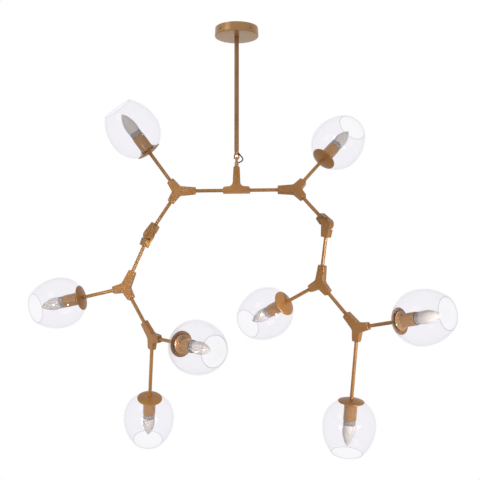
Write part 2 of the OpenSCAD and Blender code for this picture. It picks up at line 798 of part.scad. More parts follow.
module bulb() {
    base_r = bulb_base_d/2;
    base_top = holder_mouth + 1;
    collar_r = bulb_d/2 - 1;
    color(bulb_white) turned_x(concat(
        [[0, bulb_foot], [3.5, bulb_foot], [base_r, bulb_foot + 4], [base_r, base_top],
         [12.6, base_top + 1], [15.6, sleeve_shows + 0.5], [collar_r, sleeve_shows + 2],
         [collar_r, bulb_collar_top]],
        [for (i = [0:bulb_steps]) let (h = dome_start + (bulb_tip - 0.6 - dome_start)*i/bulb_steps)
            [ogive(h), h]],
        [[0, bulb_tip]]
    ));
}

shade_r = shade_d/2;
shade_steps = 12;
shade_corner = 1.2;  // height of the rounded corner between flat back and side
shade_hole_gap = 0.6;
// Half lengths of the two half ellipses, so that they pass through the back and the mouth
shade_back_axis = (shade_belly - shade_corner)/sqrt(1 - pow(shade_back_d/shade_d, 2));
shade_front_axis = (shade_l - shade_belly)/sqrt(1 - pow(shade_mouth_d/shade_d, 2));
function shade_radius(h, inset) = let (
    axis = (h < shade_belly ? shade_back_axis : shade_front_axis) - inset
) (shade_r - inset)*sqrt(1 - pow((h - shade_belly)/axis, 2));
function shade_side(from, to, inset) = [
    for (i = [0:shade_steps]) let (h = from + (to - from)*i/shade_steps) [shade_radius(h, inset), h]
];

module shade() {
    hole_r = sleeve_r + shade_hole_gap;
    color(glass_tint) turned_x(concat(
        [[hole_r, 0], [shade_back_d/2 - shade_corner, 0]],
        shade_side(shade_corner, shade_belly, 0),
        shade_side(shade_belly, shade_l, 0),
        shade_side(shade_l, shade_belly, glass_t),
        shade_side(shade_belly, glass_t + shade_corner, glass_t),
        [[shade_back_d/2 - shade_corner - 1, glass_t], [hole_r, glass_t]]
    ));
}

ceiling_plate();
terminal_block();
canopy();
canopy_fasteners();
down_rod();
upper_eye();
supply_cord();
lower_eye();
tee_hub();
link_tubes();

at_upper_hub(left) star_hub();  // upper_hub_left
upper_tubes(left);  // upper_tubes_left
at_upper_hub(left) side_lamp() lamp_cap();  // upper_cap_left
at_upper_hub(left) side_lamp() lamp_sleeve();  // upper_sleeve_left
at_upper_hub(left) side_lamp() lampholder();  // upper_lampholder_left
at_upper_hub(left) side_lamp() bulb();  // upper_bulb_left
at_upper_hub(left) side_lamp() shade();  // upper_shade_left
knuckle_top(left);  // knuckle_top_left
knuckle_screw(left);  // knuckle_screw_left
knuckle_bottom(left);  // knuckle_bottom_left
knuckle_tube(left);  // knuckle_tube_left
at_middle_hub(left) star_hub();  // middle_hub_left
middle_tubes(left);  // middle_tubes_left
at_middle_hub(left) side_lamp() lamp_cap();  // middle_cap_left
at_middle_hub(left) side_lamp() lamp_sleeve();  // middle_sleeve_left
at_middle_hub(left) side_lamp() lampholder();  // middle_lampholder_left
at_middle_hub(left) side_lamp() bulb();  // middle_bulb_left
at_middle_hub(left) side_lamp() shade();  // middle_shade_left
at_lower_hub(left) star_hub();  // lower_hub_left
lower_tubes(left);  // lower_tubes_left
at_lower_hub(left) both_lower_lamps() lamp_cap();  // lower_caps_left
at_lower_hub(left) both_lower_lamps() lamp_sleeve();  // lower_sleeves_left
at_lower_hub(left) both_lower_lamps() lampholder();  // lower_lampholders_left
at_lower_hub(left) both_lower_lamps() bulb();  // lower_bulbs_left
at_lower_hub(left) both_lower_lamps() shade();  // lower_shades_left

at_upper_hub(right) star_hub();  // upper_hub_right
upper_tubes(right);  // upper_tubes_right
at_upper_hub(right) side_lamp() lamp_cap();  // upper_cap_right
at_upper_hub(right) side_lamp() lamp_sleeve();  // upper_sleeve_right
at_upper_hub(right) side_lamp() lampholder();  // upper_lampholder_right
at_upper_hub(right) side_lamp() bulb();  // upper_bulb_right
at_upper_hub(right) side_lamp() shade();  // upper_shade_right
knuckle_top(right);  // knuckle_top_right
knuckle_screw(right);  // knuckle_screw_right
knuckle_bottom(right);  // knuckle_bottom_right
knuckle_tube(right);  // knuckle_tube_right
at_middle_hub(right) star_hub();  // middle_hub_right
middle_tubes(right);  // middle_tubes_right
at_middle_hub(right) side_lamp() lamp_cap();  // middle_cap_right
at_middle_hub(right) side_lamp() lamp_sleeve();  // middle_sleeve_right
at_middle_hub(right) side_lamp() lampholder();  // middle_lampholder_right
at_middle_hub(right) side_lamp() bulb();  // middle_bulb_right
at_middle_hub(right) side_lamp() shade();  // middle_shade_right
at_lower_hub(right) star_hub();  // lower_hub_right
lower_tubes(right);  // lower_tubes_right
at_lower_hub(right) both_lower_lamps() lamp_cap();  // lower_caps_right
at_lower_hub(right) both_lower_lamps() lamp_sleeve();  // lower_sleeves_right
at_lower_hub(right) both_lower_lamps() lampholder();  // lower_lampholders_right
at_lower_hub(right) both_lower_lamps() bulb();  // lower_bulbs_right
at_lower_hub(right) both_lower_lamps() shade();  // lower_shades_right
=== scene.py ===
# %% [markdown]
# # A branch chandelier
# Two jointed branches hang from one tee, and carry eight candle bulbs in clear glass. The
# imported model gives every piece its place and its joints. This lesson remakes each visible
# piece as a finer mesh in exactly the same place, and gives it paint, glass or plastic.
# We start by loading the imported model.

# %% Load the imported model
import math

import bmesh
import bpy
from mathutils import Matrix, Vector


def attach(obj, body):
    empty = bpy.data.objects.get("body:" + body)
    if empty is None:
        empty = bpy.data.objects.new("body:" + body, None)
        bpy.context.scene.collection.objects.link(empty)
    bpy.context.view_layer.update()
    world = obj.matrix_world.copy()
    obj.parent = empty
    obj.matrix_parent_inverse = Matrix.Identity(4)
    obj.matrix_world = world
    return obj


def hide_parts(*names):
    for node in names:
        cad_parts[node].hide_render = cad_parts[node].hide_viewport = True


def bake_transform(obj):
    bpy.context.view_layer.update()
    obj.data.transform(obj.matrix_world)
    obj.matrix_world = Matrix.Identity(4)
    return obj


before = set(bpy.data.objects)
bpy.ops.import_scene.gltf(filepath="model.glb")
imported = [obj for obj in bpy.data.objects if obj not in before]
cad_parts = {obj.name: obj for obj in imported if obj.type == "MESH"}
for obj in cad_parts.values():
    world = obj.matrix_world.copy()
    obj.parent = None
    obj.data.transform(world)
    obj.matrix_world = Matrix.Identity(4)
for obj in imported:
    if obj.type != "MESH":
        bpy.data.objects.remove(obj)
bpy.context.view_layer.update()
MM = 0.001

# %% [markdown]
# ## Camera
# The photograph was taken from below the middle of the lamp and a little to its right, so a
# level camera would show the hubs and caps from the wrong side. This one stands where the
# photograph's did, and it comes first so that every piece can be judged in the final view.

# %% Camera
FILM_WIDTH, FOCAL_LENGTH = 36, 78.43
CAMERA_PLACE = (0.2198, -2.9081, -0.98005)
LOOK = Vector((-0.071516, 0.989694, 0.124059))
camera_data = bpy.data.cameras.new("camera")
camera_data.sensor_width = FILM_WIDTH
camera_data.lens = FOCAL_LENGTH
camera = bpy.data.objects.new("camera", camera_data)
camera.location = CAMERA_PLACE
camera.rotation_euler = LOOK.to_track_quat("-Z", "Y").to_euler()
bpy.context.scene.collection.objects.link(camera)
bpy.context.scene.camera = camera
bpy.context.scene.view_settings.view_transform = "Standard"
print("camera stands", round(-camera.location.y, 2), "m in front of the rod")

# %% [markdown]
# ## Places along a branch
# A branch is a chain: each tube leads from one casting to the next, and each casting can be
# turned on its tube. It could be placed with an empty for every joint. Matrices are simpler to
# read: one is multiplied onto the next, in the order in which a fitter screws the lamp together.
# X always leads away from the tee, and a star hub lies in its own XZ plane. Lengths are in
# millimetres and angles in degrees. STAR is the angle between a hub's axis and its short arms.

# %% Frames of the chain
LEFT, RIGHT = -1, 1
SIDES = {"left": LEFT, "right": RIGHT}
STAR = 55
CANOPY_H, DROP = 26, 448
TEE_Z = -CANOPY_H - DROP
TEE_HALF, LINK_SHOWS, HUB_LONG, HUB_SHORT, KNUCKLE_HALF = 38, 78, 51, 38, 36
SIDE_ARM, LOW_ARM = 140, 208
UPPER_ROLL = {LEFT: -16, RIGHT: -30}
KNUCKLE_TURN = {LEFT: 50, RIGHT: 53}
KNUCKLE_BEND = {LEFT: 16, RIGHT: 59}
MIDDLE_ROLL = {LEFT: -30, RIGHT: 174}
LOWER_ROLL = {LEFT: -138, RIGHT: -175}


def turn(axis, degrees):
    return Matrix.Rotation(math.radians(degrees), 4, axis)


def along(distance):
    return Matrix.Translation((distance * MM, 0, 0))


AT_CEILING = Matrix.Identity(4)
AT_TEE = Matrix.Translation((0, 0, TEE_Z * MM))
TEE_TO_HUB = TEE_HALF + LINK_SHOWS + HUB_LONG
HUB_TO_KNUCKLE = HUB_SHORT + LINK_SHOWS + KNUCKLE_HALF
KNUCKLE_TO_HUB = KNUCKLE_HALF + LINK_SHOWS + HUB_LONG
HUB_TO_HUB = HUB_SHORT + LINK_SHOWS + HUB_LONG
OUTWARD, UPPER, KNUCKLE, KNUCKLE_LOW, MIDDLE, LOWER = {}, {}, {}, {}, {}, {}
for side in SIDES.values():
    OUTWARD[side] = AT_TEE @ turn("Z", 180 if side == LEFT else 0)
    UPPER[side] = OUTWARD[side] @ along(TEE_TO_HUB) @ turn("X", UPPER_ROLL[side])
    KNUCKLE[side] = (UPPER[side] @ turn("Y", STAR) @ along(HUB_TO_KNUCKLE)
                     @ turn("X", KNUCKLE_TURN[side]))
    KNUCKLE_LOW[side] = KNUCKLE[side] @ turn("Y", KNUCKLE_BEND[side])
    MIDDLE[side] = KNUCKLE_LOW[side] @ along(KNUCKLE_TO_HUB) @ turn("X", MIDDLE_ROLL[side])
    LOWER[side] = MIDDLE[side] @ turn("Y", STAR) @ along(HUB_TO_HUB) @ turn("X", LOWER_ROLL[side])
SIDE_LAMP = turn("Y", -STAR) @ along(SIDE_ARM)
LOW_LAMP = turn("Y", STAR) @ along(LOW_ARM)
print("left lower hub at", tuple(round(v, 3) for v in LOWER[LEFT].translation))

# %% [markdown]
# ## Tools for the bench
# Most of this lamp is turned or cast. A turned piece starts as one ring of points, which is
# pulled on and widened or narrowed again and again, as on a lathe. A cast piece starts as a block
# or a drum whose faces are pulled out. The helper called choose selects points, edges or faces by
# a test on their place or direction, which takes the place of the mouse.

# %% Helpers for modelling
def deselect():
    if bpy.context.mode != "OBJECT":
        bpy.ops.object.mode_set(mode="OBJECT")
    bpy.ops.object.select_all(action="DESELECT")


def work_on(piece):
    deselect()
    piece.select_set(True)
    bpy.context.view_layer.objects.active = piece


def name_new(name):
    """Names the primitive that was just added, and puts its place into its mesh."""
    piece = bpy.context.object
    piece.name = name
    bpy.ops.object.transform_apply(location=True, rotation=True, scale=True)
    return piece


def choose(kind, test):
    """Selects, in edit mode, the points, edges or faces that pass a test."""
    bpy.ops.mesh.select_all(action="DESELECT")
    bpy.ops.mesh.select_mode(type=kind)
    mesh = bmesh.from_edit_mesh(bpy.context.object.data)
    elements = {"VERT": mesh.verts, "EDGE": mesh.edges, "FACE": mesh.faces}[kind]
    chosen = [e for e in elements if test(e)]
    for e in chosen:
        e.select = True
    mesh.select_flush_mode()
    bmesh.update_edit_mesh(bpy.context.object.data)
    return len(chosen)


def middle_of(edge):
    return (edge.verts[0].co + edge.verts[1].co) / 2 / MM


def direction_of(edge):
    return (edge.verts[1].co - edge.verts[0].co).normalized()


def pull(vector):
    bpy.ops.mesh.extrude_region_move(TRANSFORM_OT_translate={"value": Vector(vector) * MM})


def bevel_chosen(width, steps):
    bpy.ops.mesh.bevel(offset=width * MM, segments=steps, affect="EDGES", clamp_overlap=True)


def modify(piece, kind, **settings):
    """Adds one modifier and applies it."""
    work_on(piece)
    modifier = piece.modifiers.new(kind.title(), kind)
    for key, value in settings.items():
        setattr(modifier, key, value)
    bpy.ops.object.modifier_apply(modifier=modifier.name)


def round_edges(piece, width, steps=2, angle=35):
    modify(piece, "BEVEL", width=width * MM, segments=steps, limit_method="ANGLE",
           angle_limit=math.radians(angle), miter_outer="MITER_ARC", use_clamp_overlap=True)


def smooth(piece, angle=38):
    work_on(piece)
    bpy.ops.object.shade_smooth_by_angle(angle=math.radians(angle))


def soften(piece, width):
    """Rounds a casting's edges, and lets its flat faces rule the shading round them."""
    round_edges(piece, width, 4)
    smooth(piece, 60)
    modify(piece, "WEIGHTED_NORMAL", weight=60, keep_sharp=False)


def cut(piece, cutter, operation="DIFFERENCE"):
    modify(piece, "BOOLEAN", object=cutter, operation=operation, solver="EXACT")
    bpy.data.objects.remove(cutter)


def turned(name, profile, sides=48, cap=False):
    """A lathe: profile is a list of (radius, height) in mm, and a radius of 0 closes the end."""
    deselect()
    radius, height = profile[0]
    bpy.ops.mesh.primitive_circle_add(vertices=sides, radius=radius * MM,
                                      location=(0, 0, height * MM),
                                      fill_type="NGON" if cap else "NOTHING")
    piece = name_new(name)
    bpy.ops.object.mode_set(mode="EDIT")
    bpy.ops.mesh.select_mode(type="FACE" if cap else "VERT")
    bpy.ops.mesh.select_all(action="SELECT")
    for next_radius, next_height in profile[1:]:
        pull((0, 0, next_height - height))
        if next_radius:
            share = next_radius / radius
            bpy.ops.transform.resize(value=(share, share, 1),
                                     center_override=(0, 0, next_height * MM))
            radius = next_radius
        else:
            bpy.ops.mesh.merge(type="CENTER")
        height = next_height
    bpy.ops.mesh.select_all(action="SELECT")
    bpy.ops.mesh.remove_doubles(threshold=0.01 * MM)
    bpy.ops.mesh.normals_make_consistent(inside=False)
    bpy.ops.object.mode_set(mode="OBJECT")
    return piece


def arc(centre, radius, start, end, steps):
    """Points on a circle, for a profile."""
    return [(centre[0] + radius * math.cos(math.radians(start + (end - start) * i / steps)),
             centre[1] + radius * math.sin(math.radians(start + (end - start) * i / steps)))
            for i in range(steps + 1)]


Z_TO_X = turn("Y", 90)


def lay_down(piece):
    """Turns a piece made upright so that its axis lies along X, as the frames want it."""
    piece.data.transform(Z_TO_X)


def fit(pattern, name, place, body, slot, material, node):
    """Puts a copy of a pattern in its place, with its own mesh; a material of None keeps its own."""
    piece = pattern.copy()
    piece.data = pattern.data.copy()
    piece.name = name
    bpy.context.scene.collection.objects.link(piece)
    piece.data.transform(place)
    if material:
        piece.data.materials.clear()
        piece.data.materials.append(material)
    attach(piece, body)
    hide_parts(node)


# %% [markdown]
# ## Writing shaders as sums
# A finish is a small graph of nodes. Wiring it call by call hides the idea, so one class wraps
# a socket: adding or multiplying wrapped sockets adds the Math nodes. Every other node comes
# from one method, which takes its settings first and its sockets after them.

# %% The class for sockets
class Socket:
    def __init__(self, tree, socket):
        self.tree, self.socket = tree, socket

    def node(self, kind, settings=None, values=None, output=0):
        node = self.tree.nodes.new("ShaderNode" + kind)
        for key, value in (settings or {}).items():
            if key == "stops":
                for stop, (place, colour) in zip(node.color_ramp.elements, value):
                    stop.position, stop.color = place, (*colour, 1)
            else:
                setattr(node, key, value)
        for key, value in (values or {}).items():
            if isinstance(value, Socket):
                self.tree.links.new(value.socket, node.inputs[key])
            else:
                node.inputs[key].default_value = value
        return Socket(self.tree, node.outputs[output])

    def math(self, operation, *terms):
        return self.node("Math", {"operation": operation}, dict(enumerate(terms)))

    def __add__(self, other):
        return self.math("ADD", self, other)

    def __sub__(self, other):
        return self.math("SUBTRACT", self, other)

    def __rsub__(self, other):
        return self.math("SUBTRACT", other, self)

    def __mul__(self, other):
        return self.math("MULTIPLY", self, other)

    def __pow__(self, other):
        return self.math("POWER", self, other)

    __radd__ = __add__
    __rmul__ = __mul__


def start_material(name):
    """A new material, and its object coordinates as a socket."""
    material = bpy.data.materials.new(name)
    material.use_nodes = True
    material.node_tree.nodes.clear()
    root = Socket(material.node_tree, None)
    return material, root.node("TexCoord", output="Object")


def finish_material(material, shader):
    output = material.node_tree.nodes.new("ShaderNodeOutputMaterial")
    material.node_tree.links.new(shader.socket, output.inputs["Surface"])
    return material


def noise(where, scale, detail=2.0):
    return where.node("TexNoise", None, {"Vector": where, "Scale": scale, "Detail": detail})


def blend_colours(amount, first, second):
    """Mixes two colours, given as (red, green, blue), by a factor socket."""
    mix = amount.node("Mix", {"data_type": "RGBA"}, {"Factor": amount}, output=2)
    for index, colour in ((6, first), (7, second)):
        mix.socket.node.inputs[index].default_value = (*colour, 1)
    return mix


# %% [markdown]
# ## Gold paint
# The castings and tubes have a satin paint with gold flakes in it. A pure metal would mirror the
# lights and turn yellow wherever they strike, and a pure paint would look like card. The shader
# is about one third metal under a clear, pale sheen. Slow noise shifts the tone from place to
# place, and fine grain breaks the sheen up.

# %% Gold paint
PATCH_SCALE, GRAIN_SCALE, GRAIN_DEPTH = 9.0, 1400.0, 0.0002
METAL_SHARE = 0.35


def gold_paint(name, deep, bright, roughness):
    material, where = start_material(name)
    slow = noise(where, PATCH_SCALE, 3.0)
    grain = noise(where, GRAIN_SCALE)
    tone = where.node("ValToRGB", {"stops": [(0.32, (0, 0, 0)), (0.70, (1, 1, 1))]}, {"Fac": slow})
    bump = where.node("Bump", None, {"Strength": 0.02, "Distance": GRAIN_DEPTH, "Height": grain})
    shader = where.node("BsdfPrincipled", None, {
        "Base Color": blend_colours(tone, deep, bright), "Metallic": METAL_SHARE, "Normal": bump,
        "Specular IOR Level": 0.5, "Roughness": roughness + 0.08 * grain + 0.06 * slow - 0.07,
    })
    return finish_material(material, shader)


GOLD = gold_paint("gold_paint", (0.25, 0.106, 0.026), (0.33, 0.150, 0.040), 0.38)
GOLD_BRIGHT = gold_paint("gold_paint_bright", (0.33, 0.165, 0.060), (0.42, 0.225, 0.088), 0.26)

# %% [markdown]
# ## Clear glass
# The shades are thin blown glass. Real refraction would need many light paths and would still
# show little more than the white room behind. A clear film that darkens where the glass is seen
# edge-on, under a reflection that grows there, stands for it and needs far less work.
# At the lip of the mouth a denser film paints the grey line that refraction shows along the rim.

# %% Clear glass
GLOSS_FACE_ON, GLOSS_AT_EDGE = 0.015, 0.35


def clear_glass(name, face_tint, edge_tint):
    material, where = start_material(name)
    facing = where.node("LayerWeight", None, {"Blend": 0.5}, output="Facing")
    face_on = where.node("BsdfTransparent", None, {"Color": (*face_tint, 1)})
    edge_on = where.node("BsdfTransparent", None, {"Color": (*edge_tint, 1)})
    film = where.node("MixShader", None, {0: facing ** 4.0, 1: face_on, 2: edge_on})
    gloss = where.node("BsdfGlossy", None, {"Color": (1, 1, 1, 1), "Roughness": 0.05})
    shader = where.node("MixShader", None, {0: GLOSS_FACE_ON + GLOSS_AT_EDGE * facing ** 5.0,
                                            1: film, 2: gloss})
    return finish_material(material, shader)


GLASS = clear_glass("clear_glass", (0.972, 0.968, 0.980), (0.905, 0.90, 0.915))
# The lip's darker film is painted shade, standing for refraction seen edge-on at the rim.
GLASS_LIP_SHADE = clear_glass("clear_glass_lip_shade", (0.80, 0.79, 0.82), (0.70, 0.69, 0.72))

# %% [markdown]
# ## Plastics
# The bulb's dome is frosted, and its collar is a duller grey. The lampholder and the terminal
# block are plain plastic, and the supply cord has a dull dark sheath. All five are one recipe:
# two near colours in slow clouds, and a very fine bump.

# %% Plastics
def plastic(name, dark, pale, roughness, scale, shine=0.5):
    material, where = start_material(name)
    cloud, moulding = noise(where, scale), noise(where, 900.0)
    bump = where.node("Bump", None, {"Strength": 0.08, "Distance": GRAIN_DEPTH, "Height": moulding})
    shader = where.node("BsdfPrincipled", None, {
        "Base Color": blend_colours(cloud, dark, pale), "Roughness": roughness + 0.1 * cloud,
        "Normal": bump, "Specular IOR Level": shine,
    })
    return finish_material(material, shader)


DOME = plastic("bulb_dome", (0.58, 0.53, 0.485), (0.68, 0.63, 0.585), 0.40, 60.0)
COLLAR = plastic("bulb_collar", (0.27, 0.24, 0.22), (0.36, 0.33, 0.31), 0.42, 80.0)
HOLDER = plastic("lampholder", (0.62, 0.60, 0.55), (0.72, 0.70, 0.66), 0.45, 40.0)
BLOCK = plastic("terminal_block", (0.74, 0.74, 0.71), (0.82, 0.82, 0.80), 0.40, 60.0)
CORD = plastic("cord_sheath", (0.010, 0.006, 0.004), (0.022, 0.013, 0.008), 0.6, 200.0, 0.15)

# %% [markdown]
# ## Zinc plate
# The ceiling plate is zinc-coated steel, whose coat sets in flat crystals, each a slightly
# different grey. Voronoi cells look like such crystals, so they blend two greys.

# %% Zinc
def zinc(name):
    material, where = start_material(name)
    spangle = where.node("TexVoronoi", None, {"Vector": where, "Scale": 160.0})
    shader = where.node("BsdfPrincipled", None, {
        "Base Color": blend_colours(spangle, (0.46, 0.47, 0.48), (0.62, 0.63, 0.64)),
        "Metallic": 0.9, "Roughness": 0.3 + 0.2 * noise(where, 220.0),
    })
    return finish_material(material, shader)


ZINC = zinc("zinc_plate")

# %% [markdown]
# ## Supply cord
# One cord runs from the terminal block down the rod, past the two eyes in an open loop, and
# into the tee. It could be a tube swept by hand. A curve with one open spline does the same from
# a short list of points, which also give the cord's length. It is made a mesh at the end.

# %% Supply cord
CORD_D = 3.5
loop = [(0, 0, 125), (0, 0, 118), (0, 0, 113), (2, -2, 110), (4.5, -3.6, 107.5), (6.5, -5, 105),
        (8.5, -5.8, 102.5), (11, -5.8, 99.5), (14, -5.2, 96), (16.8, -4.2, 92.5), (18, -3, 89),
        (17, -2, 85.5), (14, -1, 83), (10, 0, 81.5), (6, 0, 79.5), (3, 0, 77.7), (0, 0, 75.5),
        (0, 0, 70), (0, 0, 60), (0, 0, 40), (0, 0, 20)]
route = [(22, 0, -8), (12, 0, -8), (8, 0, -8), (4, 0, -9), (1, 0, -12), (0, 0, -16), (0, 0, -100),
         (0, 0, -200), (0, 0, -300)] + [(x, y, z + TEE_Z) for x, y, z in loop]
curve = bpy.data.curves.new("supply_cord_line", "CURVE")
curve.dimensions = "3D"
curve.bevel_depth = CORD_D / 2 * MM
curve.bevel_resolution = 6
curve.resolution_u = 8
curve.use_fill_caps = True
spline = curve.splines.new("NURBS")
spline.points.add(len(route) - 1)
for point, place in zip(spline.points, route):
    point.co = (*(v * MM for v in place), 1)
spline.order_u = 3
spline.use_endpoint_u = True
cord = bpy.data.objects.new("supply_cord_line", curve)
bpy.context.scene.collection.objects.link(cord)
work_on(cord)
bpy.ops.object.convert(target="MESH")
cord = bpy.context.object
cord.data.materials.append(CORD)
path = [Vector(point) * MM for point in route]
cord_length = sum((b - a).length for a, b in zip(path, path[1:]))
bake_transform(cord)
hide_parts("supply_cord")
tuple(path[0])
print("supply cord", round(cord_length, 3), "m")

# %% [markdown]
# ## Canopy
# The canopy is a shallow spun pan that hides the ceiling plate. It could be a cylinder with a
# bevel, but a real pan leans a little and is open on top, so it is turned from its profile and
# given its sheet thickness.

# %% Canopy
FLAT_R, EDGE, LEAN, CANOPY_WALL, SPIGOT_HOLE_R = 60, 3, 1.2, 1.2, 5.2
CANOPY_R = FLAT_R + EDGE
rim = [(CANOPY_R - LEAN, 0), (CANOPY_R - 0.5, -10)]
bottom_edge = arc((FLAT_R, EDGE - CANOPY_H), EDGE, 0, -90, 6)
pan = turned("canopy_pan", rim + bottom_edge + [(20, -CANOPY_H), (SPIGOT_HOLE_R, -CANOPY_H)], 128)
modify(pan, "SOLIDIFY", thickness=CANOPY_WALL * MM, offset=-1)
smooth(pan, 50)
fit(pan, "canopy_pan_gold", AT_CEILING, "ceiling_part", "gold_paint", GOLD_BRIGHT, "canopy")
print("canopy", len(pan.data.polygons), "faces")

# %% [markdown]
# ## Canopy screws and nut
# Four slotted screws hold the canopy to the ceiling plate's tabs, and a hexagon nut inside holds
# the rod. A screw is turned, and its slot is cut with a small block, as with a file.

# %% Canopy screws and nut
SCREW_Z = 13 - CANOPY_H
screw = turned("screw", [(2, -7), (2, 0), (4.2, 0), (4.2, 0.9), (3.7, 1.6), (2.6, 2.0), (0, 2.1)],
               32, cap=True)
round_edges(screw, 0.25)
deselect()
bpy.ops.mesh.primitive_cube_add(size=1, location=(0, 0, 2 * MM), scale=(9 * MM, 0.9 * MM, 1.6 * MM))
cut(screw, name_new("slot"))
smooth(screw)
lay_down(screw)
for number, angle in enumerate((45, 135, 225, 315)):
    place = turn("Z", angle) @ Matrix.Translation((CANOPY_R * MM, 0, SCREW_Z * MM))
    fit(screw, f"canopy_screw_{number + 1}", place, "ceiling_part", "gold_paint", GOLD_BRIGHT,
        "canopy_fasteners")

NUT_R, NUT_H, NUT_BORE_R = 9, 5, 5.05
deselect()
bpy.ops.mesh.primitive_cylinder_add(vertices=6, radius=NUT_R * MM, depth=NUT_H * MM,
                                    location=(0, 0, (CANOPY_WALL - CANOPY_H + NUT_H / 2) * MM))
nut = name_new("canopy_nut_blank")
deselect()
bpy.ops.mesh.primitive_cylinder_add(vertices=48, radius=NUT_BORE_R * MM, depth=20 * MM,
                                    location=(0, 0, -22 * MM))
cut(nut, name_new("nut_bore"))
round_edges(nut, 0.5)
smooth(nut)
fit(nut, "canopy_nut", AT_CEILING, "ceiling_part", "gold_paint", GOLD_BRIGHT, "canopy_fasteners")
print("screw", len(screw.data.polygons), "faces, nut", len(nut.data.polygons))

# %% [markdown]
# ## Rod
# The rod is a plain tube with a thin spigot on top, which the nut holds, and a narrowed foot
# that takes the shank of the upper eye. One closed profile makes its outside and its bore.

# %% Rod
ROD_R, ROD_FOOT, COLLAR_R, ROD_BORE_R = 6.5, 112, 6.1, 3.5
SPIGOT_R, SPIGOT_TOP, FOOT_BORE_R, FOOT_BORE_L = 5, 8 - CANOPY_H, 4.1, 13
rod_bottom = TEE_Z + ROD_FOOT
rod = turned("rod", [(ROD_BORE_R, SPIGOT_TOP), (SPIGOT_R, SPIGOT_TOP), (SPIGOT_R, -CANOPY_H),
                     (ROD_R - 0.4, -CANOPY_H), (ROD_R, -CANOPY_H - 0.4), (ROD_R, rod_bottom + 5),
                     (COLLAR_R, rod_bottom + 0.3), (COLLAR_R - 0.3, rod_bottom),
                     (FOOT_BORE_R, rod_bottom), (FOOT_BORE_R, rod_bottom + FOOT_BORE_L),
                     (ROD_BORE_R, rod_bottom + FOOT_BORE_L), (ROD_BORE_R, SPIGOT_TOP)], 64)
smooth(rod)
fit(rod, "down_rod_tube", AT_CEILING, "ceiling_part", "gold_paint", GOLD, "down_rod")
print("rod", len(rod.data.polygons), "faces")

# %% [markdown]
# ## Upper eye
# Two eyes hang in each other below the rod, so that the lamp finds its own plumb. The upper one
# is bent from wire. A torus would be too round for its flat foot, so one ring of points is spun
# round each bend and pulled along each straight, and a turned collar is joined to the top.

# %% Upper eye
WIRE_R, EYE_W, EYE_CORNER, EYE_TOP, EYE_PIVOT = 1.9, 6.3, 4.3, 100, 90.2
SHANK_R, SHANK_L = 4, 12


def spin(angle, centre, steps):
    """Turns the open end about Y, from +X towards +Z for a positive angle."""
    bpy.ops.mesh.spin(steps=steps, angle=math.radians(angle), center=Vector(centre) * MM,
                      axis=(0, 1, 0))


deselect()
bpy.ops.mesh.primitive_circle_add(vertices=20, radius=WIRE_R * MM,
                                  location=(EYE_W * MM, 0, EYE_TOP * MM))
eye = name_new("upper_eye_wire")
bpy.ops.object.mode_set(mode="EDIT")
bpy.ops.mesh.select_all(action="SELECT")
corner_x, corner_z = EYE_W - EYE_CORNER, EYE_PIVOT + EYE_CORNER
spin(180, (0, 0, EYE_TOP), 20)
pull((0, 0, corner_z - EYE_TOP))
spin(90, (-corner_x, 0, corner_z), 10)
pull((2 * corner_x, 0, 0))
spin(90, (corner_x, 0, corner_z), 10)
pull((0, 0, EYE_TOP - corner_z))
bpy.ops.mesh.select_all(action="SELECT")
bpy.ops.mesh.remove_doubles(threshold=0.02 * MM)
bpy.ops.mesh.normals_make_consistent(inside=False)
bpy.ops.object.mode_set(mode="OBJECT")
reach = [max(v.co[i] for v in eye.data.vertices) / MM for i in range(3)]
print("upper eye reaches", [round(v, 2) for v in reach])
boss = turned("boss", [(SHANK_R, 102.4), (5.2, 103.6), (COLLAR_R, 105.2), (COLLAR_R, ROD_FOOT),
                       (SHANK_R, ROD_FOOT), (SHANK_R, ROD_FOOT + SHANK_L), (0, ROD_FOOT + SHANK_L)],
              cap=True)
cut(eye, boss, "UNION")
smooth(eye, 45)
fit(eye, "upper_eye_loop", AT_TEE, "ceiling_part", "gold_paint", GOLD, "upper_eye")

# %% [markdown]
# ## Lower eye
# The lower eye is a thick ring on a neck with a collar. The ring's rounded rim and throat are
# given as a radius and a distance in from its side, and are used for both sides. Ring and neck
# are turned apart and joined by a Boolean, because their axes cross.

# %% Lower eye
HOLE_R, RING_R, RING_HALF, NECK_R, EYE_PLAY = 3.3, 7.0, 3.2, 5.4, 0.3
ring_z = EYE_PIVOT + WIRE_R + EYE_PLAY - HOLE_R
outer = [(RING_R - 1.6, 0), (RING_R - 0.5, 0.7), (RING_R, 1.7)]
throat = [(HOLE_R + 1.1, 0), (HOLE_R + 0.3, 0.9), (HOLE_R, 2.2)]
ring = turned("lower_ring", [(throat[0][0], -RING_HALF)]
              + [(radius, -RING_HALF + depth) for radius, depth in outer]
              + [(radius, RING_HALF - depth) for radius, depth in reversed(outer)]
              + [(radius, RING_HALF - depth) for radius, depth in throat]
              + [(radius, -RING_HALF + depth) for radius, depth in reversed(throat)])
lay_down(ring)
ring.data.transform(Matrix.Translation((0, 0, ring_z * MM)))
neck = turned("neck", [(SHANK_R, 55.3), (SHANK_R, 67.3), (COLLAR_R - 0.3, 67.3), (COLLAR_R, 67.8),
                       (COLLAR_R, 71.6), (COLLAR_R - 0.3, 72.6), (NECK_R, 73.6), (NECK_R, 79),
                       (NECK_R - 0.5, 82), (3.9, 84.8), (3.1, 86), (0, 86)], cap=True)
cut(neck, ring, "UNION")
smooth(neck, 45)
fit(neck, "lower_eye_ring", AT_TEE, "hanging_eye", "gold_paint", GOLD_BRIGHT, "lower_eye")
print("lower eye", len(neck.data.polygons), "faces")

# %% [markdown]
# ## Tee
# The tee is a casting: a bar with a tapered stem and generous fillets. It is pulled out of a
# block, so its faces stay flat and its fillets are true bevels. The stem's corners are rounded
# far more than the rest, because its top has to meet the round eye.

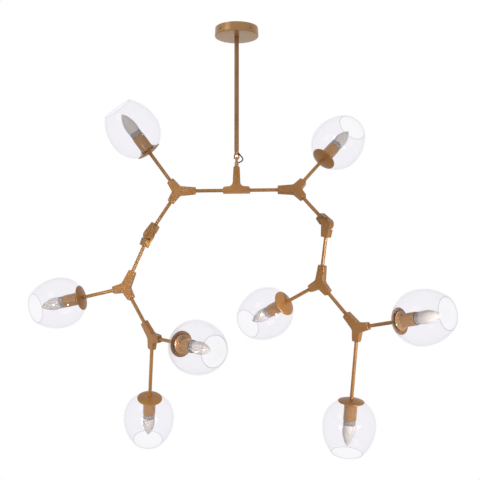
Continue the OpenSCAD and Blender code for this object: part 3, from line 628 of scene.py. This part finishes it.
# %% Tee
TEE_LOW, TEE_HIGH, STEM_TOP, STEM_ROOT, STEM_END, TEE_T = 8.7, 9.4, 67, 11.3, 8.7, 16
SHOULDER_X, CROWN, STEM_FILLET, STEM_CORNER, END_CUT, SET_SCREW_Z = 24, 1.4, 11.5, 4.5, 3.4, 11
deselect()
bpy.ops.mesh.primitive_cube_add(size=1, location=(0, 0, (TEE_HIGH - TEE_LOW) / 2 * MM),
                                scale=(2 * TEE_HALF * MM, TEE_T * MM, (TEE_HIGH + TEE_LOW) * MM))
tee = name_new("tee_blank")
bpy.ops.object.mode_set(mode="EDIT")
for x in (-SHOULDER_X, -STEM_ROOT, STEM_ROOT, SHOULDER_X):
    bpy.ops.mesh.select_all(action="SELECT")
    bpy.ops.mesh.bisect(plane_co=(x * MM, 0, 0), plane_no=(1, 0, 0))
choose("VERT", lambda v: abs(v.co.x) < (SHOULDER_X + 1) * MM and v.co.z > 5 * MM)
bpy.ops.transform.translate(value=(0, 0, CROWN * MM))
choose("FACE", lambda f: f.normal.z > 0.9 and abs(f.calc_center_median().x) < 5 * MM)
pull((0, 0, STEM_TOP - TEE_HIGH - CROWN))
bpy.ops.transform.resize(value=(STEM_END / STEM_ROOT, 1, 1), center_override=(0, 0, STEM_TOP * MM))
choose("EDGE", lambda e: abs(direction_of(e).y) > 0.9 and abs(abs(middle_of(e).x) - STEM_ROOT) < 0.5
       and abs(middle_of(e).z - TEE_HIGH - CROWN) < 0.5)
bevel_chosen(STEM_FILLET, 10)
choose("EDGE", lambda e: abs(direction_of(e).y) > 0.9 and abs(abs(middle_of(e).x) - TEE_HALF) < 0.5
       and middle_of(e).z > 5)
bevel_chosen(END_CUT, 2)
choose("EDGE", lambda e: abs(direction_of(e).z) > 0.9 and middle_of(e).z > 30)
bevel_chosen(STEM_CORNER, 6)
bpy.ops.mesh.select_all(action="SELECT")
bpy.ops.mesh.remove_doubles(threshold=0.01 * MM)
bpy.ops.object.mode_set(mode="OBJECT")
soften(tee, 1.6)
fit(tee, "tee_casting", AT_TEE, "tee", "gold_paint", GOLD, "tee_hub")

set_screw = turned("set_screw_blank", [(2.2, -3.9), (2.2, 0.5), (1.9, 0.8), (1.3, 0.8), (1.2, -0.6),
                                       (0, -0.6)], 32, cap=True)
smooth(set_screw)
screw_place = AT_TEE @ Matrix.Translation((0, -TEE_T / 2 * MM, SET_SCREW_Z * MM)) @ turn("X", 90)
fit(set_screw, "tee_set_screw", screw_place, "tee", "gold_paint", GOLD_BRIGHT, "tee_hub")
print("tee", len(tee.data.polygons), "faces")

# %% [markdown]
# ## Star hubs
# All six hubs are the same casting: one long arm, and two short ones 110 degrees apart. It
# starts as a three-sided prism whose corners are the crotches between the arms. Each side is
# pulled out into an arm, sawn off square and narrowed at its end. Then the crotches get their
# fillets and the ends their blunted corners.

# %% Star hub pattern
HUB_W, HUB_ROOT_W, HUB_T, HUB_FILLET, CORNER_CUT = 20, 29, 15.6, 8, 2
ARMS = {-STAR: HUB_SHORT, STAR: HUB_SHORT, 180: HUB_LONG}
CROTCHES = ((-STAR, STAR), (STAR, 180), (180, 360 - STAR))


def heading(angle):
    return Vector((math.cos(math.radians(angle)), math.sin(math.radians(angle)), 0))


def arm_lean(angle):
    """How far an arm's sides lean in towards its end, in degrees."""
    length = HUB_LONG if angle == 180 else HUB_SHORT
    return math.degrees(math.atan((HUB_ROOT_W - HUB_W) / 2 / length))


def crotch(first, second):
    """Where the left side of one arm meets the right side of the next."""
    start, along_first = heading(first + 90) * HUB_ROOT_W / 2, heading(first - arm_lean(first))
    other, along_second = heading(second - 90) * HUB_ROOT_W / 2, heading(second + arm_lean(second))
    share = (other - start).cross(along_second).z / along_first.cross(along_second).z
    return start + along_first * share


def star_casting():
    deselect()
    bpy.ops.mesh.primitive_cylinder_add(vertices=3, radius=10 * MM, depth=HUB_T * MM)
    hub = name_new("hub_pattern")
    bpy.ops.object.mode_set(mode="EDIT")
    free = {(round(v.co.x / MM, 3), round(v.co.y / MM, 3))
            for v in bmesh.from_edit_mesh(hub.data).verts}
    for target in (crotch(*pair) for pair in CROTCHES):
        nearest = min(free, key=lambda c: (Vector((*c, 0)) - target).length)
        free.remove(nearest)
        corner = Vector((*nearest, 0))
        choose("VERT", lambda v: (Vector((v.co.x, v.co.y, 0)) / MM - corner).length < 0.1)
        bpy.ops.transform.translate(value=(target - corner) * MM)
    for angle, length in ARMS.items():
        bpy.ops.mesh.select_all(action="SELECT")
        bpy.ops.mesh.normals_make_consistent(inside=False)
        way, across = heading(angle), heading(angle + 90)
        choose("FACE", lambda f: abs(f.normal.z) < 0.1 and f.normal.dot(way) > 0.9
               and f.calc_center_median().length < 20 * MM)
        pull(way * length)
        bpy.ops.mesh.select_all(action="SELECT")
        bpy.ops.mesh.bisect(plane_co=way * length * MM, plane_no=way, use_fill=True,
                            clear_outer=True)
        for edge in (-1, 1):
            choose("VERT", lambda v: v.co.dot(way) / MM > length - 0.1
                   and v.co.dot(across) * edge > 0)
            end_points = [v for v in bmesh.from_edit_mesh(hub.data).verts if v.select]
            wide = max(abs(v.co.dot(across)) for v in end_points) / MM
            bpy.ops.transform.translate(value=across * edge * (HUB_W / 2 - wide) * MM)
    choose("EDGE", lambda e: abs(direction_of(e).z) > 0.9 and middle_of(e).length < 20)
    bevel_chosen(HUB_FILLET / 2, 8)
    choose("EDGE", lambda e: abs(direction_of(e).z) > 0.9 and middle_of(e).length > 30)
    bevel_chosen(CORNER_CUT, 2)
    bpy.ops.mesh.select_all(action="SELECT")
    bpy.ops.mesh.remove_doubles(threshold=0.01 * MM)
    bpy.ops.mesh.dissolve_limited(angle_limit=math.radians(1))
    bpy.ops.mesh.normals_make_consistent(inside=False)
    bpy.ops.object.mode_set(mode="OBJECT")
    hub.data.transform(turn("X", 90))
    return hub


hub = star_casting()
soften(hub, 1.3)
for word, side in SIDES.items():
    for level, place in (("upper", UPPER[side]), ("middle", MIDDLE[side]), ("lower", LOWER[side])):
        fit(hub, f"star_{level}_{word}", place, f"{level}_branch_{word}", "gold_paint", GOLD,
            f"{level}_hub_{word}")
print("star hub", len(hub.data.polygons), "faces")

# %% [markdown]
# ## Tubes
# Every branch tube is 10 mm wide and ends inside two castings. A tube is turned with its wall,
# so that the ends read as tubes when a lamp is taken apart.

# %% Tubes
TUBE_R, TUBE_WALL, SOCKET, GAP, PLAY, IN_HOLDER = 5, 1.2, 12, 0.3, 0.05, 8


def branch_tube(name, start, end, place, body, node):
    inner = TUBE_R - TUBE_WALL
    blank = turned("tube_blank", [(inner, start), (TUBE_R - 0.3, start), (TUBE_R, start + 0.3),
                                  (TUBE_R, end - 0.3), (TUBE_R - 0.3, end), (inner, end),
                                  (inner, start)], 40)
    smooth(blank)
    lay_down(blank)
    fit(blank, name, place, body, "gold_paint", GOLD, node)
    bpy.data.objects.remove(blank)


up, down = turn("Y", -STAR), turn("Y", STAR)
tube_start = HUB_SHORT - SOCKET
in_lamp = SIDE_ARM + IN_HOLDER
for word, side in SIDES.items():
    branch_tube(f"tube_tee_{word}", TEE_HALF - SOCKET, TEE_TO_HUB - HUB_LONG + SOCKET - GAP,
                OUTWARD[side], "tee", "link_tubes")
    branch_tube(f"tube_upper_lamp_{word}", tube_start, in_lamp, UPPER[side] @ up,
                f"upper_branch_{word}", f"upper_tubes_{word}")
    branch_tube(f"tube_upper_link_{word}", tube_start, HUB_TO_KNUCKLE - KNUCKLE_HALF + SOCKET,
                UPPER[side] @ down, f"upper_branch_{word}", f"upper_tubes_{word}")
    branch_tube(f"tube_knuckle_{word}", KNUCKLE_HALF - SOCKET,
                KNUCKLE_TO_HUB - HUB_LONG + SOCKET - GAP,
                KNUCKLE_LOW[side], f"knuckle_link_{word}", f"knuckle_tube_{word}")
    branch_tube(f"tube_middle_lamp_{word}", tube_start, in_lamp, MIDDLE[side] @ up,
                f"middle_branch_{word}", f"middle_tubes_{word}")
    branch_tube(f"tube_middle_link_{word}", tube_start, HUB_TO_HUB - HUB_LONG + SOCKET - GAP,
                MIDDLE[side] @ down, f"middle_branch_{word}", f"middle_tubes_{word}")
    branch_tube(f"tube_lower_lamp_{word}", tube_start, in_lamp, LOWER[side] @ up,
                f"lower_branch_{word}", f"lower_tubes_{word}")
    branch_tube(f"tube_lowest_lamp_{word}", tube_start, LOW_ARM + IN_HOLDER, LOWER[side] @ down,
                f"lower_branch_{word}", f"lower_tubes_{word}")
print("tubes", 8 * len(SIDES))

# %% [markdown]
# ## Knuckles
# A knuckle is two equal castings on one pivot screw, like a folding rule: each is a disc whose
# sides run on to a socket, half as thick at the disc and hollowed round the other half's disc.
# A drum is sawn off where the straight sides touch it, and its flat face is pulled out and
# narrowed. Then a larger drum and a block are cut away where the other half turns. The edges are
# rounded before the small bores are drilled, because short edges would hold the rounding back.

# %% Knuckle pattern
DISC_R, KNUCKLE_T, KNUCKLE_W, PIVOT_R, HEAD_R, HEAD_H, SINK = 15, 19, 21, 3, 4.3, 2.2, 2.6
KEY_R, KEY_DEPTH, PIVOT_NUT_R, PIVOT_NUT_H = 2.9, 3.2, 6, 3
KNUCKLE_STEP = DISC_R - 1
face = KNUCKLE_T / 2
bearing = SINK - GAP - face


def box(name, low, high):
    deselect()
    low, high = Vector(low), Vector(high)
    bpy.ops.mesh.primitive_cube_add(size=1, location=(low + high) / 2 * MM, scale=(high - low) * MM)
    return name_new(name)


def drum(name, radius, start, end, sides=64):
    """A cylinder along Y."""
    deselect()
    bpy.ops.mesh.primitive_cylinder_add(vertices=sides, radius=radius * MM, depth=(end - start) * MM,
                                        location=(0, (start + end) / 2 * MM, 0),
                                        rotation=(math.pi / 2, 0, 0))
    return name_new(name)


def knuckle_casting():
    """One half, with its socket towards +X and its disc on the +Y side."""
    shoulder = Vector((KNUCKLE_HALF - CORNER_CUT, KNUCKLE_W / 2))
    touch = math.atan2(shoulder.y, shoulder.x) + math.acos(DISC_R / shoulder.length)
    touch_x, touch_z = DISC_R * math.cos(touch), DISC_R * math.sin(touch)
    half = drum("knuckle_pattern", DISC_R, -face, face)
    work_on(half)
    bpy.ops.object.mode_set(mode="EDIT")
    bpy.ops.mesh.select_all(action="SELECT")
    bpy.ops.mesh.bisect(plane_co=(touch_x * MM, 0, 0), plane_no=(1, 0, 0), use_fill=True,
                        clear_outer=True)
    choose("FACE", lambda f: f.normal.x > 0.99 and f.calc_center_median().x > (touch_x - 0.1) * MM)
    pull((KNUCKLE_HALF - touch_x, 0, 0))
    bpy.ops.transform.resize(value=(1, 1, shoulder.y / touch_z),
                             center_override=(KNUCKLE_HALF * MM, 0, 0))
    choose("EDGE", lambda e: abs(direction_of(e).y) > 0.9 and middle_of(e).x > KNUCKLE_HALF - 1)
    bpy.ops.mesh.bevel(offset=CORNER_CUT * MM, segments=3, affect="EDGES")
    bpy.ops.object.mode_set(mode="OBJECT")
    cut(half, drum("room_for_disc", DISC_R + GAP, -2 * face, GAP / 2))
    cut(half, box("room_for_arm", (-40, -2 * face, -40), (KNUCKLE_STEP, GAP / 2, 40)))
    round_edges(half, 0.9, 3, 40)
    cut(half, drum("pivot_bore", PIVOT_R + PLAY, -2 * face, 2 * face, 32))
    cut(half, drum("head_sink", HEAD_R + GAP, face - SINK, 2 * face, 40))
    smooth(half, 50)
    modify(half, "WEIGHTED_NORMAL", weight=60, keep_sharp=True)
    return half


knuckle = knuckle_casting()
pivot = turned("pivot_blank", [(PIVOT_R, face + PIVOT_NUT_H), (PIVOT_R, bearing), (HEAD_R, bearing),
                               (HEAD_R, bearing - HEAD_H + 0.4), (HEAD_R - 0.4, bearing - HEAD_H),
                               (0, bearing - HEAD_H)], 40, cap=True)
deselect()
bpy.ops.mesh.primitive_cylinder_add(vertices=6, radius=KEY_R * MM, depth=KEY_DEPTH * MM,
                                    location=(0, 0, (bearing - HEAD_H) * MM))
cut(pivot, name_new("key_socket"))
smooth(pivot)
deselect()
nut_centre = (0, 0, (face + PIVOT_NUT_H / 2) * MM)
bpy.ops.mesh.primitive_cylinder_add(vertices=6, radius=PIVOT_NUT_R * MM, depth=PIVOT_NUT_H * MM,
                                    location=nut_centre)
pivot_nut = name_new("pivot_nut_blank")
deselect()
bpy.ops.mesh.primitive_cylinder_add(vertices=32, radius=(PIVOT_R + PLAY) * MM, depth=12 * MM,
                                    location=nut_centre)
cut(pivot_nut, name_new("pivot_nut_bore"))
round_edges(pivot_nut, 0.4)
smooth(pivot_nut)
print("knuckle half", len(knuckle.data.polygons), "faces")
for word, side in SIDES.items():
    fit(knuckle, f"knuckle_upper_half_{word}", KNUCKLE[side] @ turn("Y", 180),
        f"upper_branch_{word}", "gold_paint", GOLD, f"knuckle_top_{word}")
    fit(knuckle, f"knuckle_lower_half_{word}", KNUCKLE_LOW[side] @ turn("X", 180),
        f"knuckle_link_{word}", "gold_paint", GOLD, f"knuckle_bottom_{word}")
    for pattern, title in ((pivot, "pivot"), (pivot_nut, "pivot_nut")):
        fit(pattern, f"knuckle_{title}_{word}", KNUCKLE[side] @ turn("X", -90),
            f"upper_branch_{word}", "gold_paint", GOLD_BRIGHT, f"knuckle_screw_{word}")

# %% [markdown]
# ## Lamp caps, sleeves and ring nuts
# Behind each shade sits a shallow dome, and in front of it a sleeve with a ring nut that holds
# the glass. All three are turned. The frames have X towards the bulb's tip, so the patterns are
# made upright and laid down.

# %% Cap, sleeve and ring nut patterns
CAP_R, CAP_DEPTH, CAP_RIM, CAP_WALL, CAP_STEPS = 36, 9, 2, 1.6, 8
rise = CAP_DEPTH - CAP_RIM
DOME_R = (CAP_R ** 2 + rise ** 2) / (2 * rise)


def dome_height(radius, inset):
    return DOME_R - CAP_DEPTH - math.sqrt((DOME_R - inset) ** 2 - radius ** 2)


def dome_points(start, end, inset):
    radii = [start + (end - start) * i / CAP_STEPS for i in range(CAP_STEPS + 1)]
    return [(r, dome_height(r, inset)) for r in radii]


BORE_R = TUBE_R + PLAY
SLEEVE_R, SLEEVE_WALL, SLEEVE_FLOOR, SLEEVE_END = 18, 1.2, 1.5, 52
seat_r = SLEEVE_R + 0.5
seat_z = dome_height(seat_r, CAP_WALL)
cap_rim = [(CAP_R, -CAP_RIM + 0.4), (CAP_R, -0.3), (CAP_R - 0.3, 0), (CAP_R - CAP_WALL, 0)]
cap = turned("cap_pattern", dome_points(BORE_R, CAP_R - 0.3, 0) + cap_rim
             + dome_points(CAP_R - CAP_WALL - 0.3, seat_r, CAP_WALL)
             + [(BORE_R, seat_z), (BORE_R, dome_height(BORE_R, 0))], 96)
smooth(cap, 40)
lay_down(cap)

sleeve_inner = SLEEVE_R - SLEEVE_WALL
sleeve = turned("sleeve_pattern", [
    (BORE_R, seat_z), (SLEEVE_R, seat_z), (SLEEVE_R, SLEEVE_END - 1.5),
    (SLEEVE_R - 0.25, SLEEVE_END - 0.7), (SLEEVE_R - 0.75, SLEEVE_END), (sleeve_inner, SLEEVE_END),
    (sleeve_inner, seat_z + SLEEVE_FLOOR), (BORE_R, seat_z + SLEEVE_FLOOR), (BORE_R, seat_z)], 72)
smooth(sleeve)
lay_down(sleeve)

GLASS_T, FLANGE_R, FLANGE_T, RING_H = 2.5, 26, 1.8, 8
ring_bore, flange_top, ring_top = SLEEVE_R + PLAY, GLASS_T + FLANGE_T, GLASS_T + RING_H
ring_nut = turned("ring_nut_pattern", [
    (ring_bore, GLASS_T), (FLANGE_R - 0.3, GLASS_T), (FLANGE_R, GLASS_T + 0.3),
    (FLANGE_R, flange_top - 0.4), (FLANGE_R - 0.5, flange_top), (SLEEVE_R + 3.4, flange_top + 0.6),
    (SLEEVE_R + 2.4, flange_top + 3.0), (SLEEVE_R + 1.6, ring_top - 1.2),
    (SLEEVE_R + 1.2, ring_top - 0.2), (SLEEVE_R + 0.8, ring_top), (ring_bore, ring_top),
    (ring_bore, GLASS_T)], 72)
smooth(ring_nut, 45)
lay_down(ring_nut)
print("cap", len(cap.data.polygons), "faces, ring nut", len(ring_nut.data.polygons))

# %% [markdown]
# ## Candle bulbs
# A bulb is a ribbed collar with a frosted, pointed dome. The ribs are every second column of
# points drawn in a little, and on the dome they fade towards the tip.

# %% Bulb patterns
BULB_R, COLLAR_TOP, TIP, BASE_R, FOOT, HOLDER_END = 17.5, 66, 126.5, 6.9, 25, 48
BELLY, TIP_R = COLLAR_TOP + 14, 1.8
ogive_r = ((TIP - BELLY) ** 2 + (BULB_R - TIP_R) ** 2) / (2 * (BULB_R - TIP_R))
RIBS = 96


def ogive(height):
    return math.sqrt(ogive_r ** 2 - (height - BELLY) ** 2) - ogive_r + BULB_R


def flute(piece, depth_at):
    """Draws every second column of points in, by a share that changes with height."""
    work_on(piece)
    bpy.ops.object.mode_set(mode="EDIT")
    heights = sorted({round(v.co.z / MM, 2) for v in bmesh.from_edit_mesh(piece.data).verts})
    for height in heights:
        share = 1 - depth_at(height)
        if share < 1 and choose("VERT", lambda v: abs(v.co.z / MM - height) < 0.02
                                and round(math.atan2(v.co.y, v.co.x) / (2 * math.pi / RIBS)) % 2):
            bpy.ops.transform.resize(value=(share, share, 1),
                                     center_override=(0, 0, height * MM))
    bpy.ops.object.mode_set(mode="OBJECT")


collar_r = BULB_R - 1
collar = turned("collar_pattern", [
    (3.5, FOOT), (BASE_R, FOOT + 4), (BASE_R, HOLDER_END + 1), (12.6, HOLDER_END + 2),
    (15.4, SLEEVE_END + 0.3), (16.3, SLEEVE_END + 1.6), (collar_r, SLEEVE_END + 3), (collar_r, 58),
    (collar_r, 62), (collar_r, COLLAR_TOP - 1), (BULB_R - 1.8, COLLAR_TOP - 0.2),
    (BULB_R - 2.6, COLLAR_TOP)], RIBS, cap=True)
flute(collar, lambda h: 0.035 if SLEEVE_END + 2 < h < COLLAR_TOP - 0.6 else 0)
smooth(collar, 50)
lay_down(collar)
dome_heights = [COLLAR_TOP - 0.3 + (TIP - 0.6 - COLLAR_TOP) * i / 22 for i in range(23)]
dome = turned("dome_pattern", [(ogive(h), h) for h in dome_heights] + [(0.9, TIP - 0.1), (0, TIP)],
              RIBS, cap=True)
flute(dome, lambda h: 0.022 * max(0, 1 - (h - COLLAR_TOP) / 42) if h < 108 else 0)
smooth(dome, 50)
lay_down(dome)
print("bulb", len(collar.data.polygons) + len(dome.data.polygons), "faces")

# %% [markdown]
# ## Glass shades
# A shade is a blown bell: widest near its middle, drawn in to an open mouth and flat at the
# back, where the ring nut clamps it. The outer side, the rounded lip and the inner side are one
# profile, so the glass has its real thickness.

# %% Glass shade pattern
SHADE_R, SHADE_BELLY, SHADE_L, MOUTH_D, BACK_D, BACK_EDGE = 74, 66, 147, 88, 78, 1.2
SHADE_STEPS = 18
back_axis = (SHADE_BELLY - BACK_EDGE) / math.sqrt(1 - (BACK_D / 2 / SHADE_R) ** 2)
front_axis = (SHADE_L - SHADE_BELLY) / math.sqrt(1 - (MOUTH_D / 2 / SHADE_R) ** 2)


def shade_side(start, end, inset):
    points = []
    for i in range(SHADE_STEPS + 1):
        height = start + (end - start) * i / SHADE_STEPS
        axis = (back_axis if height < SHADE_BELLY else front_axis) - inset
        share = math.sqrt(1 - ((height - SHADE_BELLY) / axis) ** 2)
        points.append(((SHADE_R - inset) * share, height))
    return points


hole_r = SLEEVE_R + 0.6
outside = (shade_side(BACK_EDGE, SHADE_BELLY, 0)
           + shade_side(SHADE_BELLY, SHADE_L - 0.8, 0)[1:])
inside = (shade_side(SHADE_L - 0.8, SHADE_BELLY, GLASS_T)
          + shade_side(SHADE_BELLY, GLASS_T + BACK_EDGE, GLASS_T)[1:])
lip_outer, lip_inner = outside[-1][0], inside[0][0]
lip = [(lip_outer - 0.5, SHADE_L - 0.15), ((lip_outer + lip_inner) / 2, SHADE_L),
       (lip_inner + 0.5, SHADE_L - 0.15)]
back = [(hole_r, 0), (BACK_D / 2 - BACK_EDGE, 0), (BACK_D / 2 - 0.35, 0.35)]
back_inside = [(BACK_D / 2 - BACK_EDGE - 1, GLASS_T), (hole_r, GLASS_T), (hole_r, 0)]
shade = turned("shade_pattern", back + outside + lip + inside + back_inside, 96)
smooth(shade, 60)
shade.data.materials.append(GLASS)
shade.data.materials.append(GLASS_LIP_SHADE)
# The lip's faces get the darker film, which paints the shade of the rim line.
for polygon in shade.data.polygons:
    polygon.material_index = int(polygon.center.z > (SHADE_L - 1) * MM)
lay_down(shade)
print("shade", len(shade.data.polygons), "faces")

# %% [markdown]
# ## Eight lamps
# The six patterns are copied to every lamp: one lamp on each upper and middle hub, and two on
# each lower hub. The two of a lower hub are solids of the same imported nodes, so both copies
# replace the same node. After that the patterns are thrown away.

# %% Fit the eight lamps
LAMP_PIECES = (
    (cap, "cap_dome", "cap", "gold_paint", GOLD),
    (sleeve, "sleeve_can", "sleeve", "gold_paint", GOLD_BRIGHT),
    (ring_nut, "ring_nut", "sleeve", "gold_paint", GOLD_BRIGHT),
    (collar, "bulb_collar", "bulb", "bulb", COLLAR),
    (dome, "bulb_dome", "bulb", "bulb", DOME),
    (shade, "shade_glass", "shade", "clear_glass", None),
)
for word, side in SIDES.items():
    lamps = [("upper", UPPER[side] @ SIDE_LAMP, "upper_branch", "upper_{}"),
             ("middle", MIDDLE[side] @ SIDE_LAMP, "middle_branch", "middle_{}"),
             ("lower", LOWER[side] @ SIDE_LAMP, "lower_branch", "lower_{}s"),
             ("lowest", LOWER[side] @ LOW_LAMP, "lower_branch", "lower_{}s")]
    for level, place, body, node in lamps:
        for pattern, title, kind, slot, material in LAMP_PIECES:
            fit(pattern, f"{title}_{level}_{word}", place, f"{body}_{word}", slot, material,
                f"{node.format(kind)}_{word}")
for pattern in (pan, screw, nut, rod, eye, neck, tee, set_screw, hub, knuckle, pivot, pivot_nut, cap,
                sleeve, ring_nut, collar, dome, shade):
    bpy.data.objects.remove(pattern)

# %% [markdown]
# ## The pieces that stay as packed
# The ceiling plate, the terminal block and the lampholders are right as they are. They only
# need their finishes.

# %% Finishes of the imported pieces
FINISHES = {"ceiling_plate": ZINC, "terminal_block": BLOCK}
for node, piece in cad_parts.items():
    if piece.hide_render:
        continue
    piece.data.materials.clear()
    piece.data.materials.append(FINISHES.get(node, HOLDER))
    print("kept", node)

# %% [markdown]
# ## Room and floor
# The lamp hangs in a soft room that is a little brighter at the upper left. The background is
# plain white for the camera, for clear glass and in every reflection, while the light that falls
# on the lamp is dimmer. The floor is lifted towards white for the same rays, and is clear from
# beneath, so that the lamp can be looked at from below.

# %% World and floor
world = bpy.data.worlds.new("room")
bpy.context.scene.world = world
world.use_nodes = True
world.node_tree.nodes.clear()


def shows_background(tree):
    """1 for a ray of the camera, of a reflection or through glass, and 0 for soft light."""
    seen, mirrored, through = (tree.node("LightPath", output=f"Is {kind} Ray")
                               for kind in ("Camera", "Glossy", "Transmission"))
    return tree.math("MINIMUM", seen + mirrored + through, 1.0)


room = Socket(world.node_tree, None)
direction = room.node("TexCoord", output="Generated")
BRIGHT_SIDE, ROOM_LIGHT, ROOM_TILT = (-0.70, -0.30, 0.65), 0.56, 0.12
towards_left = direction.node("VectorMath", {"operation": "DOT_PRODUCT"},
                              {0: direction, 1: BRIGHT_SIDE}, output="Value")
soft_light = ROOM_LIGHT + ROOM_TILT * towards_left
white_for = shows_background(room)
strength = soft_light * (1 - white_for) + white_for
background = room.node("Background", None, {"Color": (1, 1, 1, 1), "Strength": strength})
output = world.node_tree.nodes.new("ShaderNodeOutputWorld")
world.node_tree.links.new(background.socket, output.inputs["Surface"])

FLOOR_Z, FLOOR_WIDTH, FLOOR_GLOW = -2.2, 5, 0.8
deselect()
bpy.ops.mesh.primitive_plane_add(size=FLOOR_WIDTH, location=(0, 0, FLOOR_Z))
floor = name_new("floor")
material, where = start_material("pale_floor")
pale = where.node("BsdfDiffuse", None, {"Color": (0.86, 0.86, 0.86, 1)})
glow = where.node("Emission", None, {"Color": (1, 1, 1, 1), "Strength": 1.0})
upper = where.node("MixShader", None, {0: FLOOR_GLOW * shows_background(where), 1: pale, 2: glow})
clear = where.node("BsdfTransparent", None, {"Color": (1, 1, 1, 1)})
beneath = where.node("NewGeometry", output="Backfacing")
finish_material(material, where.node("MixShader", None, {0: beneath, 1: upper, 2: clear}))
floor.data.materials.append(material)

# %% [markdown]
# ## Lamps of the room
# One large panel stands at the upper left. In the photograph the lower pieces are far brighter
# than the tee and the canopy. More panels would light them all alike, so two narrow beams are
# aimed at the lower branches, the stronger one at the right.

# %% Lamps of the room
def panel(name, place, target, size, power, beam=180):
    light = bpy.data.lights.new(name, "AREA")
    light.shape = "DISK"
    light.size = size
    light.energy = power
    light.spread = math.radians(beam)
    lamp = bpy.data.objects.new(name, light)
    lamp.location = place
    lamp.rotation_euler = (Vector(target) - Vector(place)).to_track_quat("-Z", "Y").to_euler()
    bpy.context.scene.collection.objects.link(lamp)


panel("key_panel", (-2.0, -2.0, 0.9), (0, 0, -0.7), 1.4, 8)
panel("right_beam", (2.2, -2.4, -1.6), (0.30, 0, -0.84), 0.5, 2.6, 22)
panel("left_beam", (-1.4, -2.7, -1.6), (-0.28, 0, -0.96), 0.5, 1.0, 20)
